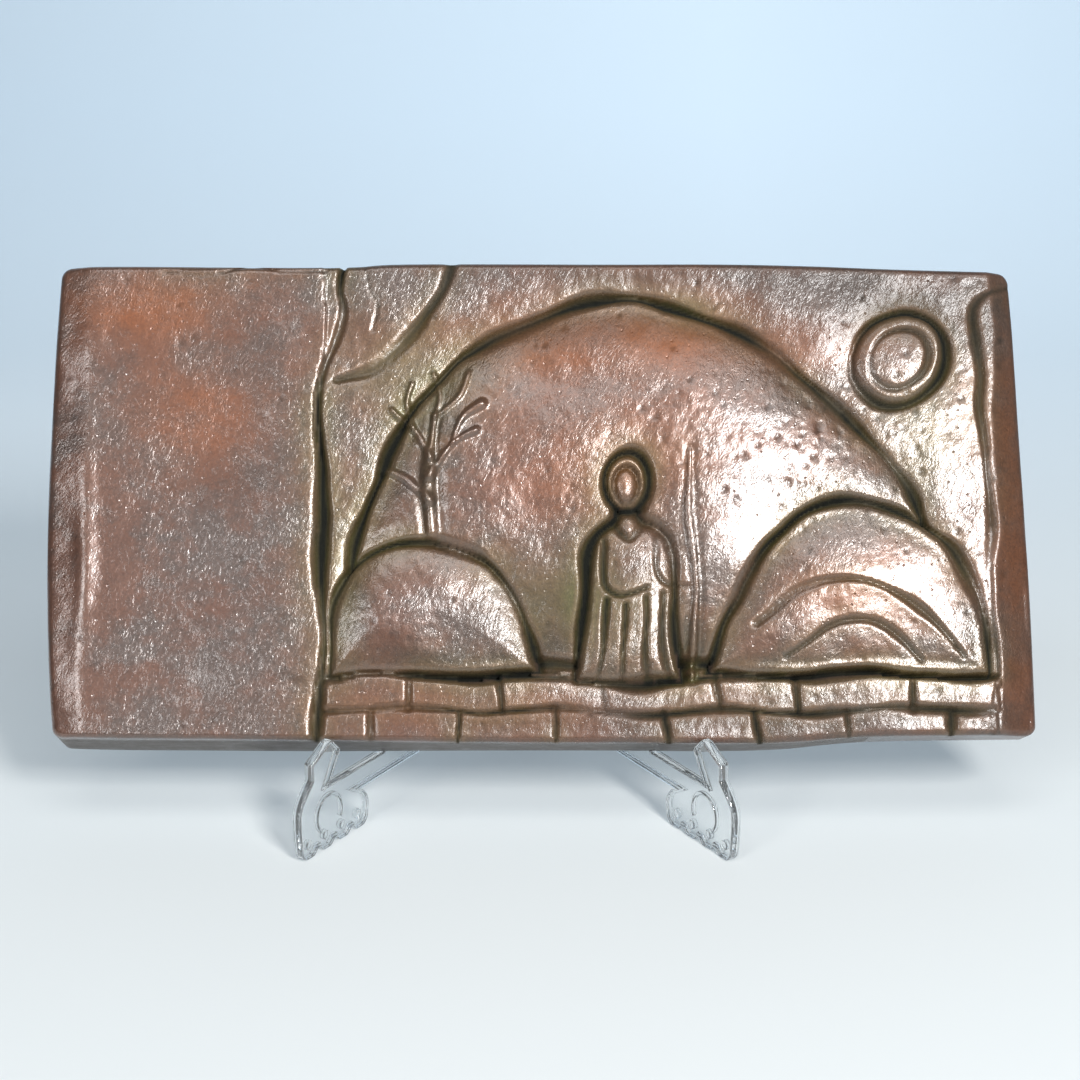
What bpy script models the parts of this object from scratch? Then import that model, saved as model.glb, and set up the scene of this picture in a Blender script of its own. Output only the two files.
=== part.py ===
"""A cast bronze relief slab that leans on a clear plastic easel of two interlocked leaves.

Metres, +Z up, -Y towards the viewer. The origin is on the shelf, under the middle of the object.
The relief is a generic one: a robed figure before rounded hills, with a disc and a bare tree,
beside a bare field. Run with: blender --background --python part.py
"""

import math
from collections import namedtuple

import bmesh
import bpy
import numpy as np
from mathutils import Matrix, Vector

# Slab
SLAB_LENGTH = 0.325
SLAB_HEIGHT = 0.162
SLAB_THICKNESS = 0.020
SLAB_LEAN = math.radians(28)
EDGE_ROUND = 0.0035
CORNER_ROUND = 0.0035

# Easel leaf, an upright plate seen from its side: a foot with a rounded belly, a hook that stands
# on its neck, a bar that runs back to the rear foot, and an upright behind the slab
LEAF_THICKNESS = 0.0036
LEAF_TURN = math.radians(32)
LEAF_SPREAD = 0.1402
EASEL_OFFSET = -0.0075
FOOT_LENGTH = 0.0366
FOOT_LOBES = 4
LOBE_RADIUS = 0.0047
LOBE_FLATTENING = 0.0003
FOOT_BACK_BULGE = 0.0042
BELLY_HEIGHT = 0.0180
NECK_DEPTH = 0.0068
NECK_HEIGHT = 0.0266
HOOK_FOOT_DEPTH = 0.0160
HOOK_SHOULDER = 0.0320
HOOK_HEIGHT = 0.0366
HOOK_TIP_WIDTH = 0.0020
HOOK_TIP_DEPTH = 0.0160
LEDGE_HEIGHT = 0.0218
BAR_DEPTH = 0.0080
UPRIGHT_HEIGHT = 0.100
UPRIGHT_FOOT = 0.016
UPRIGHT_TIP = 0.0075
REAR_FOOT_LENGTH = 0.012
REAR_FOOT_GAP = 0.008
BEND_RADIUS = 0.004

# Gaps that keep touching pieces apart
REST_GAP = 0.0003
HALVING_GAP = 0.0004
HOOK_GAP = 0.0008

# Mesh fineness
COLUMNS = 300
ROWS = 150
EDGE_STEPS = 3
KEPT_SHARE = 0.068

# The relief is drawn on a sheet of 325 by 160 units, with its origin at the slab's middle, and
# stretched to the slab. Its heights and depths are in relief units.
SHEET = (325.0, 160.0)
RELIEF_UNIT = 0.001

# Where the cast edges waver, as (place along the edge, place across it)
TOP_EDGE = [(-162, 78.6), (-140, 79.6), (-80, 79.3), (-60, 79.6), (-44, 80.0), (20, 80.0),
            (60, 79.9), (88, 79.0), (120, 77.6), (162, 76.4)]
BOTTOM_EDGE = [(-162, -79.0), (-140, -79.6), (-110, -79.8), (-71, -80.0), (-20, -79.8),
               (20, -79.8), (56, -80.0), (80, -79.4), (108, -77.0), (162, -76.2)]
LEFT_EDGE = [(-80, -160.6), (-56, -161.8), (0, -162.5), (26, -162.0), (52, -161.2), (80, -159.8)]
RIGHT_EDGE = [(-80, 162.4), (-60, 162.0), (-30, 161.2), (0, 159.8), (36, 158.2), (60, 157.0),
              (80, 155.8)]

# The hand that cut the clay wavers: (reach, wavelength across, wavelength up, turn) of each wave
WAVER = [(0.8, 190, 54, 0.0), (0.35, 60, 19, 1.7)]
UNEVENNESS = [(0.25, 75, 120, 0.4), (0.15, 31, -44, 2.0)]

# How a mass stands: its level at the rim, how far and how softly it swells above that, the
# channel cut round it, how far the ground sinks towards it and how far its lip is pushed up.
# A cut is a round-bottomed groove, and a negative depth raises a ridge.
Form = namedtuple("Form", "level swell softness channel_depth channel_width sink lip")
Cut = namedtuple("Cut", "depth width")
# A broad soft rise or hollow
Swell = namedtuple("Swell", "centre reach rise")
SINK_REACH = 7.0
LIP_PLACE = 2.4
LIP_WIDTH = 1.5

FIELD_END = -72
FIELD_LEVEL = 0.5
FIELD_SWELLS = [Swell((-112, -4), (34, 62), -1.6), Swell((-132, 46), (24, 18), 0.6),
                Swell((-98, -52), (22, 18), 0.6), Swell((-86, 20), (12, 26), 0.5),
                Swell((-104, 44), (14, 12), -0.5)]
SKY_LEVEL = 0.6
SKY_SWELLS = [Swell((20, 60), (300, 30), -1.2), Swell((96, 62), (14, 12), 0.6)]

GREAT_HILL = [(-52, -54), (-61, -22), (-50, 16), (-26, 47), (6, 63), (38, 66), (68, 55), (96, 33),
              (120, 6), (131, -24), (126, -54)]
GREAT_HILL_FORM = Form(-0.4, 5.8, 15.0, 2.6, 1.6, 1.3, 0.5)
GREAT_HILL_SWELLS = [Swell((-6, -22), (20, 34), -1.7), Swell((66, 34), (26, 14), 0.9),
                     Swell((84, -6), (14, 24), -1.1), Swell((10, 40), (18, 10), -0.8),
                     Swell((-30, 24), (13, 18), 0.8), Swell((54, 2), (14, 26), 0.7)]
LEFT_HILL = [(-69, -57), (-68, -36), (-56, -19), (-40, -13), (-22, -18), (-7, -33), (0, -57)]
LEFT_HILL_FORM = Form(0.6, 3.6, 9.0, 2.4, 1.3, 0.8, 0.5)
LEFT_HILL_SWELLS = [Swell((-26, -42), (14, 10), -0.9), Swell((-52, -34), (9, 12), 0.5)]
RIGHT_HILL = [(56, -57), (62, -34), (76, -13), (96, -1), (118, -3), (136, -16), (145, -36),
              (146, -57)]
RIGHT_HILL_FORM = Form(0.6, 4.4, 12.0, 2.4, 1.3, 0.8, 0.5)
RIGHT_HILL_SWELLS = [Swell((92, -22), (16, 10), 0.7), Swell((122, -40), (14, 14), -1.0)]
FURROWS = [[(70, -40), (84, -29), (104, -27), (124, -35), (137, -50)],
           [(80, -50), (94, -41), (110, -41), (124, -52)]]
FURROW_CUT = Cut(0.9, 0.9)
DISC_CENTRE = (119, 47)
DISC_RADIUS = 15
DISC_FORM = Form(0.4, 2.2, 5.0, 1.8, 1.2, 0.8, 0.4)
DISC_RING = 9.5
DISC_RING_CUT = Cut(0.8, 0.9)

ROBE = [(12, -59), (14.5, -38), (15, -18), (18, -10.5), (24, -6.5), (26, -2.5), (32, -2.5),
        (34, -6.5), (40, -10.5), (43, -18), (43.5, -38), (47, -59)]
ROBE_FORM = Form(2.6, 2.4, 4.0, 2.5, 1.3, 0.6, 0.3)
HOOD_CENTRE = (29, 5.0)
HOOD_RADII = (6.8, 8.6)
HOOD_FORM = Form(2.8, 2.6, 3.0, 2.2, 1.2, 0.5, 0.3)
FACE_CENTRE = (29, 3.8)
FACE_RADII = (3.5, 4.8)
FACE_FORM = Form(2.6, 2.0, 2.0, 1.3, 0.9, 0.0, 0.0)
ROBE_LINES = [[(38.5, -12), (37, -22), (40, -28), (47, -29.5)],
              [(20, -13), (20.5, -26), (26, -31), (34, -29)],
              [(22, -32), (21.5, -46), (19, -58)], [(28, -34), (28, -46), (27, -58)],
              [(34, -32), (35, -46), (35.5, -58)], [(39.5, -31), (40.5, -46), (42.5, -58)],
              [(24, -8.5), (29, -13), (34, -8.5)]]
ROBE_LINE_CUT = Cut(1.2, 0.9)
STAFF = [(50.5, -58), (50, -30), (49.5, -6), (49, 16)]
STAFF_CUT = Cut(-2.4, 1.1)
STAFF_BED_CUT = Cut(1.2, 2.6)

GROUND_TOP = -57.5
GROUND_END = 149
GROUND_LEVEL = 1.5
STONE_TILT = 0.5
GROUND_STROKE = [(-70, -58), (-30, -57.5), (13, -58.5), (46, -58.5), (100, -57), (148, -57)]
GROUND_CUT = Cut(2.0, 1.1)
COURSE_LINE = [(-70, -68.5), (-30, -68), (30, -69), (90, -68.5), (148, -67.5)]
COURSE_CUT = Cut(1.3, 0.9)
UPPER_JOINTS = [-44, -14, 20, 58, 84, 121]
LOWER_JOINTS = [-55, -27, 4, 40, 70, 100, 134]
JOINT_CUT = Cut(1.2, 0.9)

TRUNK = [(-36, -11), (-37.5, 2), (-35.5, 16), (-34, 28)]
TRUNK_CUT = Cut(-2.0, 1.5)
TRUNK_BED_CUT = Cut(1.0, 3.0)
BRANCHES = [[(-35.5, 14), (-41, 24), (-48, 31)], [(-34, 27), (-33, 34), (-36, 42)],
            [(-36.5, 8), (-28, 18), (-20, 22)], [(-37, 0), (-45, 8), (-53, 11)],
            [(-34, 27), (-27, 33), (-24, 41)], [(-41, 24), (-43, 33), (-42, 39)],
            [(-28, 18), (-25, 26), (-19, 31)]]
BRANCH_CUT = Cut(-1.2, 0.9)
RIDGE_LINE = [(-67, 40), (-54, 46), (-42, 57), (-32, 70), (-28, 82)]
RIDGE_CUT = Cut(1.5, 1.4)
MARGIN_LINE = [(148, -78), (148.5, -40), (147.5, 0), (146, 40), (144, 64), (158, 73)]
MARGIN_CUT = Cut(1.0, 1.2)
DIVIDER = [(-72, -82), (-71.5, -50), (-71, -20), (-72.5, 8), (-73, 30), (-70, 48), (-66, 62),
           (-67, 72), (-64, 82)]
DIVIDER_CUT = Cut(3.2, 1.5)

# The left and right margins roll off towards the edge: where they start, over what, how deep
LEFT_MARGIN = (-150, 12, 2.6)
RIGHT_MARGIN = (149, 13, 3.6)


def smooth_line(points, steps=6):
    """Points along a Catmull-Rom curve through the given ones."""
    points = np.array(points, float)
    last = len(points) - 1
    made = []
    for i in range(last):
        p0, p1, p2, p3 = (points[min(max(i + k, 0), last)] for k in (-1, 0, 1, 2))
        for t in np.arange(steps) / steps:
            made.append(0.5 * (2 * p1 + (p2 - p0) * t + (2 * p0 - 5 * p1 + 4 * p2 - p3) * t ** 2
                               + (3 * p1 - p0 - 3 * p2 + p3) * t ** 3))
    made.append(points[-1])
    return np.array(made)


def closed_over_base(points):
    """A smooth line through the points, closed by a straight base."""
    line = smooth_line(points)
    return np.vstack([line, line[:1]])


def ellipse(centre, radii, steps=28):
    turns = np.linspace(0, 2 * math.pi, steps + 1)
    return np.column_stack([centre[0] + radii[0] * np.cos(turns),
                            centre[1] + radii[1] * np.sin(turns)])


def distance_to(u, v, line):
    """Distance from every (u, v) to the line."""
    best = np.full(np.shape(u), np.inf)
    for (ax, ay), (bx, by) in zip(line[:-1], line[1:]):
        ex, ey = bx - ax, by - ay
        along = ((u - ax) * ex + (v - ay) * ey) / max(ex * ex + ey * ey, 1e-9)
        along = np.clip(along, 0, 1)
        best = np.minimum(best, np.hypot(u - ax - along * ex, v - ay - along * ey))
    return best


def is_inside(u, v, outline):
    """True for every (u, v) within the closed outline."""
    crossed = np.zeros(np.shape(u), bool)
    for (ax, ay), (bx, by) in zip(outline[:-1], outline[1:]):
        if ay == by:
            continue
        spans = (ay > v) != (by > v)
        crossed ^= spans & (u < ax + (v - ay) * (bx - ax) / (by - ay))
    return crossed


def waves(u, v, kinds):
    """The sum of some waves that run across and up the sheet."""
    return sum(reach * np.sin(2 * math.pi * (u / across + v / up) + turn)
               for reach, across, up, turn in kinds)


def soft_swells(u, v, swells):
    total = np.zeros(np.shape(u))
    for swell in swells:
        across = (u - swell.centre[0]) / swell.reach[0]
        up = (v - swell.centre[1]) / swell.reach[1]
        total += swell.rise * np.exp(-(across ** 2 + up ** 2))
    return total


class Relief:
    """The heights of the relief, in relief units, at places on the sheet, as it is cut."""

    def __init__(self, u, v):
        self.u, self.v = u + waves(u, v, WAVER), v + waves(v, u, WAVER)
        self.hand = 1 + waves(u, v, UNEVENNESS)
        self.height = np.where(self.u < FIELD_END, FIELD_LEVEL + soft_swells(u, v, FIELD_SWELLS),
                               SKY_LEVEL + soft_swells(u, v, SKY_SWELLS))

    def groove(self, line, cut):
        """Cuts a groove along a line, as deep as the hand makes it."""
        away = distance_to(self.u, self.v, line)
        self.height = self.height - cut.depth * self.hand * np.exp(-(away / cut.width) ** 2)

    def lay(self, outline, form, swells=()):
        """Lays a swelling mass over what is there and cuts a channel round it."""
        away = distance_to(self.u, self.v, outline)
        body = form.level + form.swell * (1 - np.exp(-away / form.softness))
        body += form.lip * np.exp(-((away - LIP_PLACE) / LIP_WIDTH) ** 2)
        body += soft_swells(self.u, self.v, swells)
        around = self.height - form.sink * np.exp(-away / SINK_REACH)
        self.height = np.where(is_inside(self.u, self.v, outline), body, around)
        self.groove(outline, Cut(form.channel_depth, form.channel_width))

    def raise_bar(self, line, cut, bed):
        """Raises a round bar along a line, in a shallow bed."""
        self.groove(line, bed)
        self.groove(line, cut)

    def lay_stones(self):
        """Lays the two courses of stones under the hills, each stone a little tilted."""
        over = self.v > COURSE_LINE[0][1]
        tilt = np.zeros(np.shape(self.u))
        for course, joints in ((over, UPPER_JOINTS), (~over, LOWER_JOINTS)):
            ends = [FIELD_END] + joints + [GROUND_END]
            for i, (left, right) in enumerate(zip(ends[:-1], ends[1:])):
                stone = course & (self.u >= left) & (self.u < right)
                lean = STONE_TILT * (1 if i % 2 else -1)
                share = (self.u - left) / (right - left) - 0.5
                tilt = np.where(stone, lean * share * (1 if i % 3 else -1), tilt)
        ground = (self.v < GROUND_TOP) & (self.u > FIELD_END) & (self.u < GROUND_END)
        self.height = np.where(ground, GROUND_LEVEL + tilt, self.height)
        self.groove(smooth_line(GROUND_STROKE), GROUND_CUT)
        self.groove(smooth_line(COURSE_LINE), COURSE_CUT)
        middle = COURSE_LINE[0][1]
        for joints, top, low in ((UPPER_JOINTS, GROUND_TOP, middle),
                                 (LOWER_JOINTS, middle, -SHEET[1] / 2)):
            for joint in joints:
                self.groove(smooth_line([(joint, top), (joint + 1, low)]), JOINT_CUT)

    def lay_figure(self):
        """Lays the hooded figure in its robe, with its staff."""
        self.raise_bar(smooth_line(STAFF), STAFF_CUT, STAFF_BED_CUT)
        self.lay(closed_over_base(ROBE), ROBE_FORM)
        self.lay(ellipse(HOOD_CENTRE, HOOD_RADII), HOOD_FORM)
        self.lay(ellipse(FACE_CENTRE, FACE_RADII), FACE_FORM)
        for line in ROBE_LINES:
            self.groove(smooth_line(line), ROBE_LINE_CUT)

    def roll_margins(self):
        start, over, depth = LEFT_MARGIN
        self.height = self.height - depth * np.clip((start - self.u) / over, 0, 1) ** 2
        start, over, depth = RIGHT_MARGIN
        self.height = self.height - depth * np.clip((self.u - start) / over, 0, 1)


def carve(u, v):
    """The whole relief, back to front."""
    relief = Relief(u, v)
    relief.lay(ellipse(DISC_CENTRE, (DISC_RADIUS, DISC_RADIUS)), DISC_FORM)
    relief.groove(ellipse(DISC_CENTRE, (DISC_RING, DISC_RING)), DISC_RING_CUT)
    relief.lay(closed_over_base(GREAT_HILL), GREAT_HILL_FORM, GREAT_HILL_SWELLS)
    relief.raise_bar(smooth_line(TRUNK), TRUNK_CUT, TRUNK_BED_CUT)
    for branch in BRANCHES:
        relief.groove(smooth_line(branch), BRANCH_CUT)
    relief.lay(closed_over_base(LEFT_HILL), LEFT_HILL_FORM, LEFT_HILL_SWELLS)
    relief.lay(closed_over_base(RIGHT_HILL), RIGHT_HILL_FORM, RIGHT_HILL_SWELLS)
    for furrow in FURROWS:
        relief.groove(smooth_line(furrow), FURROW_CUT)
    relief.lay_stones()
    relief.lay_figure()
    relief.groove(smooth_line(RIDGE_LINE), RIDGE_CUT)
    relief.groove(smooth_line(MARGIN_LINE), MARGIN_CUT)
    relief.groove(smooth_line(DIVIDER), DIVIDER_CUT)
    relief.roll_margins()
    return relief


def edge_at(edge, places):
    """How far out a wavering edge stands at these places along it."""
    line = smooth_line(edge)
    return np.interp(places, line[:, 0], line[:, 1])


def stations(count, length, rounding):
    """Places from 0 to 1 along a side, close together over the rounding at its two ends."""
    turns = np.linspace(0, math.pi / 2, EDGE_STEPS + 1)[:-1]
    start = (1 - np.cos(turns)) * rounding / length
    middle = np.linspace(rounding / length, 1 - rounding / length, count + 1 - 2 * EDGE_STEPS)
    return np.concatenate([start, middle, 1 - start[::-1]])


def slab_face_points(grid):
    """Places across and up the slab and heights over its back, for grid points in -1 to 1."""
    across = stations(COLUMNS, SLAB_LENGTH, EDGE_ROUND)
    up = stations(ROWS, SLAB_HEIGHT, EDGE_ROUND)
    a = across[np.rint((grid[:, 0] + 1) / 2 * COLUMNS).astype(int)]
    b = up[np.rint((grid[:, 1] + 1) / 2 * ROWS).astype(int)]
    u, v = (a - 0.5) * SHEET[0], (b - 0.5) * SHEET[1]
    for _ in range(2):
        left, right = edge_at(LEFT_EDGE, v), edge_at(RIGHT_EDGE, v)
        low, high = edge_at(BOTTOM_EDGE, u), edge_at(TOP_EDGE, u)
        u, v = left + (right - left) * a, low + (high - low) * b
    x, z = u / SHEET[0] * SLAB_LENGTH, v / SHEET[1] * SLAB_HEIGHT
    from_side = np.minimum(a, 1 - a) * SLAB_LENGTH
    from_end = np.minimum(b, 1 - b) * SLAB_HEIGHT
    inset = CORNER_ROUND - np.minimum(from_side, CORNER_ROUND)
    inset_up = CORNER_ROUND - np.minimum(from_end, CORNER_ROUND)
    reach = np.hypot(inset, inset_up)
    pull = np.where(reach > CORNER_ROUND, 1 - CORNER_ROUND / np.maximum(reach, 1e-9), 0)
    x -= np.sign(a - 0.5) * inset * pull
    z -= np.sign(b - 0.5) * inset_up * pull
    from_edge = np.minimum(np.minimum(from_side, from_end), EDGE_ROUND)
    from_arc = CORNER_ROUND - np.minimum(reach, CORNER_ROUND)
    corner = (inset > 0) & (inset_up > 0)
    from_edge = np.where(corner, np.minimum(from_edge, from_arc), from_edge)
    fall = EDGE_ROUND - np.sqrt(EDGE_ROUND ** 2 - (EDGE_ROUND - from_edge) ** 2)
    return x, z, SLAB_THICKNESS + carve(u, v).height * RELIEF_UNIT - fall


def slab_placement():
    """The matrix that leans the slab on the ledges: x right, y into the slab's face, z up it."""
    back_edge = Vector((0, slab_back_place(), LEDGE_HEIGHT + REST_GAP))
    return Matrix.Translation(back_edge) @ Matrix.Rotation(-SLAB_LEAN, 4, "X")


def slab_back_place():
    """How far back the slab's lower back edge rests, on the bars behind the hooks."""
    hook_back = HOOK_FOOT_DEPTH * math.cos(LEAF_TURN)
    corner = LEAF_THICKNESS / 2 * math.sin(LEAF_TURN)
    return leaf_front() + hook_back + corner + HOOK_GAP + SLAB_THICKNESS / math.cos(SLAB_LEAN)


def leaf_front():
    """The front of the leaves, placed so that the easel is centred front to back."""
    return -leaf_length() * math.cos(LEAF_TURN) / 2


def crossing_place():
    """Where along a leaf the two leaves cross."""
    return LEAF_SPREAD / 2 / math.sin(LEAF_TURN)


def leaf_length():
    return crossing_place() + REAR_FOOT_GAP + REAR_FOOT_LENGTH


def arc(centre, radius, start, end, steps):
    """Points on an arc, with its angles in degrees."""
    turns = np.radians(np.linspace(start, end, steps + 1))
    return [(centre[0] + radius * math.cos(t), centre[1] + radius * math.sin(t)) for t in turns]


def foot_lobes(start, length, count):
    """The scalloped underside of a foot: round lobes, each with a flat spot on the shelf."""
    step = (length - 2 * LOBE_RADIUS) / max(count - 1, 1)
    points = []
    for i in range(count):
        centre = (start + LOBE_RADIUS + i * step, LOBE_RADIUS - LOBE_FLATTENING)
        begin = 180 if i == 0 else 215
        end = 360 if i == count - 1 else 325
        points += [(s, max(z, 0.0)) for s, z in arc(centre, LOBE_RADIUS, begin, end, 9)]
    return points


def bulge(start, end, rise, steps=5):
    """Points between two ends on a round line that bulges to the right of the way there."""
    way = Vector(end) - Vector(start)
    out = Vector((way.y, -way.x)).normalized() * rise
    shares = [(i + 1) / (steps + 1) for i in range(steps)]
    middle = [Vector(start) + way * t + out * 4 * t * (1 - t) for t in shares]
    return [tuple(p) for p in middle] + [tuple(end)]


def slot_points(middle, half, mouth, depth):
    """A halving slot in an edge of the bar, in order of rising place along the leaf."""
    return [(middle - half, mouth), (middle - half, depth),
            (middle + half, depth), (middle + half, mouth)]


def leaf_outline(slot_from_top):
    """The leaf's side outline, anticlockwise from its front foot, as (along, up) points."""
    bar_low = LEDGE_HEIGHT - BAR_DEPTH
    bar_mid = LEDGE_HEIGHT - BAR_DEPTH / 2
    slope = math.tan(SLAB_LEAN) / math.cos(LEAF_TURN)
    slab_back = (slab_back_place() - leaf_front() + REST_GAP) / math.cos(LEAF_TURN)
    upright_front = slab_back + LEAF_THICKNESS / 2 * math.tan(LEAF_TURN)
    upright_rise = UPRIGHT_HEIGHT - UPRIGHT_TIP / 2 - LEDGE_HEIGHT
    upright_top = upright_front + upright_rise * slope
    cross, end = crossing_place(), leaf_length()
    crossing = 2 * LEAF_TURN
    slot_half = LEAF_THICKNESS * (1 + abs(math.cos(crossing))) / math.sin(crossing) / 2
    slot_half += HALVING_GAP
    points = foot_lobes(0, FOOT_LENGTH, FOOT_LOBES)
    back_end = (FOOT_LENGTH - FOOT_BACK_BULGE, bar_low)
    points += bulge(points[-1], back_end, FOOT_BACK_BULGE / 2)
    if not slot_from_top:
        points += slot_points(cross, slot_half, bar_low, bar_mid + HALVING_GAP)
    points += [(end - REAR_FOOT_LENGTH, bar_low)]
    points += foot_lobes(end - REAR_FOOT_LENGTH, REAR_FOOT_LENGTH, 1)
    points += arc((end - BEND_RADIUS, LEDGE_HEIGHT - BEND_RADIUS), BEND_RADIUS, 0, 90, 4)
    if slot_from_top:
        points += slot_points(cross, slot_half, LEDGE_HEIGHT, bar_mid)[::-1]
    points += [(upright_front + UPRIGHT_FOOT, LEDGE_HEIGHT)]
    tip = (upright_top + UPRIGHT_TIP / 2, UPRIGHT_HEIGHT - UPRIGHT_TIP / 2)
    points += arc(tip, UPRIGHT_TIP / 2, -20, 180, 6)
    shoulder = HOOK_FOOT_DEPTH + (HOOK_SHOULDER - LEDGE_HEIGHT) * slope
    points += [(upright_front, LEDGE_HEIGHT), (HOOK_FOOT_DEPTH, LEDGE_HEIGHT),
               (shoulder, HOOK_SHOULDER), (HOOK_TIP_DEPTH + HOOK_TIP_WIDTH, HOOK_HEIGHT),
               (HOOK_TIP_DEPTH, HOOK_HEIGHT), (NECK_DEPTH, HOOK_SHOULDER),
               (NECK_DEPTH, NECK_HEIGHT)]
    belly = [points[-1], (0.0, BELLY_HEIGHT), points[0]]
    points += [tuple(p) for p in smooth_line(belly, steps=4)[1:-1]]
    return points


def collection_named(name):
    made = bpy.data.collections.new(name)
    bpy.context.scene.collection.children.link(made)
    return made


def plain_material(name, colour, roughness, metallic=0.0, alpha=1.0):
    material = bpy.data.materials.new(name)
    material.use_nodes = True
    shader = material.node_tree.nodes["Principled BSDF"]
    shader.inputs["Base Color"].default_value = (*colour, 1.0)
    shader.inputs["Roughness"].default_value = roughness
    shader.inputs["Metallic"].default_value = metallic
    shader.inputs["Alpha"].default_value = alpha
    return material


def build_slab(collection):
    """The cast slab: a graded grid carved by the relief, thickened and thinned out by Decimate."""
    mesh = bpy.data.meshes.new("relief_slab")
    slab = bpy.data.objects.new("relief_slab", mesh)
    collection.objects.link(slab)
    bm = bmesh.new()
    bmesh.ops.create_grid(bm, x_segments=COLUMNS, y_segments=ROWS, size=1.0)
    grid = np.array([v.co[:2] for v in bm.verts])
    x, z, proud = slab_face_points(grid)
    for vertex, place in zip(bm.verts, zip(x, -proud, z + SLAB_HEIGHT / 2)):
        vertex.co = place
    border = [e for e in bm.edges if e.is_boundary]
    walls = bmesh.ops.extrude_edge_only(bm, edges=border)["geom"]
    for vertex in [g for g in walls if isinstance(g, bmesh.types.BMVert)]:
        vertex.co.y = 0.0
    rim = [e for e in bm.edges if e.is_boundary]
    bmesh.ops.contextual_create(bm, geom=rim)
    bmesh.ops.triangulate(bm, faces=bm.faces[:])
    bmesh.ops.recalc_face_normals(bm, faces=bm.faces[:])
    bm.to_mesh(mesh)
    bm.free()
    slab.matrix_world = slab_placement()
    thin = slab.modifiers.new("fewer_faces", "DECIMATE")
    thin.ratio = KEPT_SHARE
    mesh.materials.append(plain_material("bronze", (0.27, 0.12, 0.07), 0.38, 0.9))


def build_leaf(name, side, slot_from_top, material, collection):
    """One easel leaf: its outline as a flat plate, stood up and turned towards the other."""
    curve = bpy.data.curves.new(name, "CURVE")
    curve.dimensions = "2D"
    curve.fill_mode = "BOTH"
    curve.extrude = LEAF_THICKNESS / 2
    points = leaf_outline(slot_from_top)
    line = curve.splines.new("POLY")
    line.points.add(len(points) - 1)
    for point, place in zip(line.points, points):
        point.co = (*place, 0, 1)
    line.use_cyclic_u = True
    leaf = bpy.data.objects.new(name, curve)
    collection.objects.link(leaf)
    leaf.location = (EASEL_OFFSET + side * LEAF_SPREAD / 2, leaf_front(), 0)
    leaf.rotation_euler = (math.pi / 2, 0, math.pi / 2 + side * LEAF_TURN)
    curve.materials.append(material)


def main():
    for old in list(bpy.data.objects):
        bpy.data.objects.remove(old)
    collection = collection_named("bronze_relief_on_easel")
    build_slab(collection)
    plastic = plain_material("clear_plastic", (0.93, 0.96, 0.98), 0.05, alpha=0.35)
    build_leaf("easel_leaf_left", -1, True, plastic, collection)
    build_leaf("easel_leaf_right", 1, False, plastic, collection)


main()
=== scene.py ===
"""Looks of a cast bronze relief slab that leans on a clear plastic plate easel.

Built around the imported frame: metres, +Z up, -Y towards the viewer. The relief is a generic one,
a robed figure before rounded hills with a disc and a bare tree, beside a bare field.
"""

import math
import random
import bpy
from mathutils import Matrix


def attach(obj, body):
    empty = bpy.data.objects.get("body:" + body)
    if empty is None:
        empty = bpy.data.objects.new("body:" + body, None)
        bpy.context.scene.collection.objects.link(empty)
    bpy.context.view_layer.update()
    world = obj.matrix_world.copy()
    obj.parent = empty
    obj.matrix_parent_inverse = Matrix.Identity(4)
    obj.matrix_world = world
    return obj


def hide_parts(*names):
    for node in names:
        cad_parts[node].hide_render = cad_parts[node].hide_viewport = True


bl_info = {
    "name": "Bronze Relief on an Easel",
    "version": (1, 0, 0),
    "blender": (4, 5, 0),
    "location": "3D View > Sidebar > Relief",
    "description": "Builds a patinated bronze relief slab, its clear plastic easel and a studio",
    "category": "Object",
}

from collections import namedtuple
from functools import partial

import bmesh
import bpy
import numpy as np
from bmesh.types import BMEdge, BMVert
from mathutils import Euler, Matrix, Vector, noise

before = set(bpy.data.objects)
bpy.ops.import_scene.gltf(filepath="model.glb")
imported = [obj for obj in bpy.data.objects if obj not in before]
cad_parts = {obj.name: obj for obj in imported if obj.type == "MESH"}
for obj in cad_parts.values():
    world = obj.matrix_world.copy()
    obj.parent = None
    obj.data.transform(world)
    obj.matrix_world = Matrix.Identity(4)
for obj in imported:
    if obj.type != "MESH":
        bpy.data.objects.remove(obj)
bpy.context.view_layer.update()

MM = 0.001

# Slab
SLAB_LENGTH = 0.325
SLAB_HEIGHT = 0.162
SLAB_THICKNESS = 0.020
SLAB_LEAN = math.radians(28)
EDGE_ROUND = 0.0022
CORNER_ROUND = 0.0035
EDGE_STEPS = 6
WALL_RINGS = 6
BACK_CHAMFER = 0.0006

# Easel leaf, an upright plate seen from its side: a foot with a rounded belly, a hook that stands
# on its neck, a bar that runs back to the rear foot, and an upright behind the slab
LEAF_THICKNESS = 0.0036
LEAF_TURN = math.radians(32)
LEAF_SPREAD = 0.1402
EASEL_OFFSET = -0.0075
FOOT_LENGTH = 0.0366
FOOT_LOBES = 4
LOBE_RADIUS = 0.0047
LOBE_FLATTENING = 0.0003
FOOT_BACK_BULGE = 0.0042
BELLY_HEIGHT = 0.0180
NECK_DEPTH = 0.0068
NECK_HEIGHT = 0.0266
HOOK_FOOT_DEPTH = 0.0160
HOOK_SHOULDER = 0.0320
HOOK_HEIGHT = 0.0366
HOOK_TIP_WIDTH = 0.0020
HOOK_TIP_DEPTH = 0.0160
LEDGE_HEIGHT = 0.0218
BAR_DEPTH = 0.0080
UPRIGHT_HEIGHT = 0.100
UPRIGHT_FOOT = 0.016
UPRIGHT_TIP = 0.0075
REAR_FOOT_LENGTH = 0.012
REAR_FOOT_GAP = 0.008
BEND_RADIUS = 0.004

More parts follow.
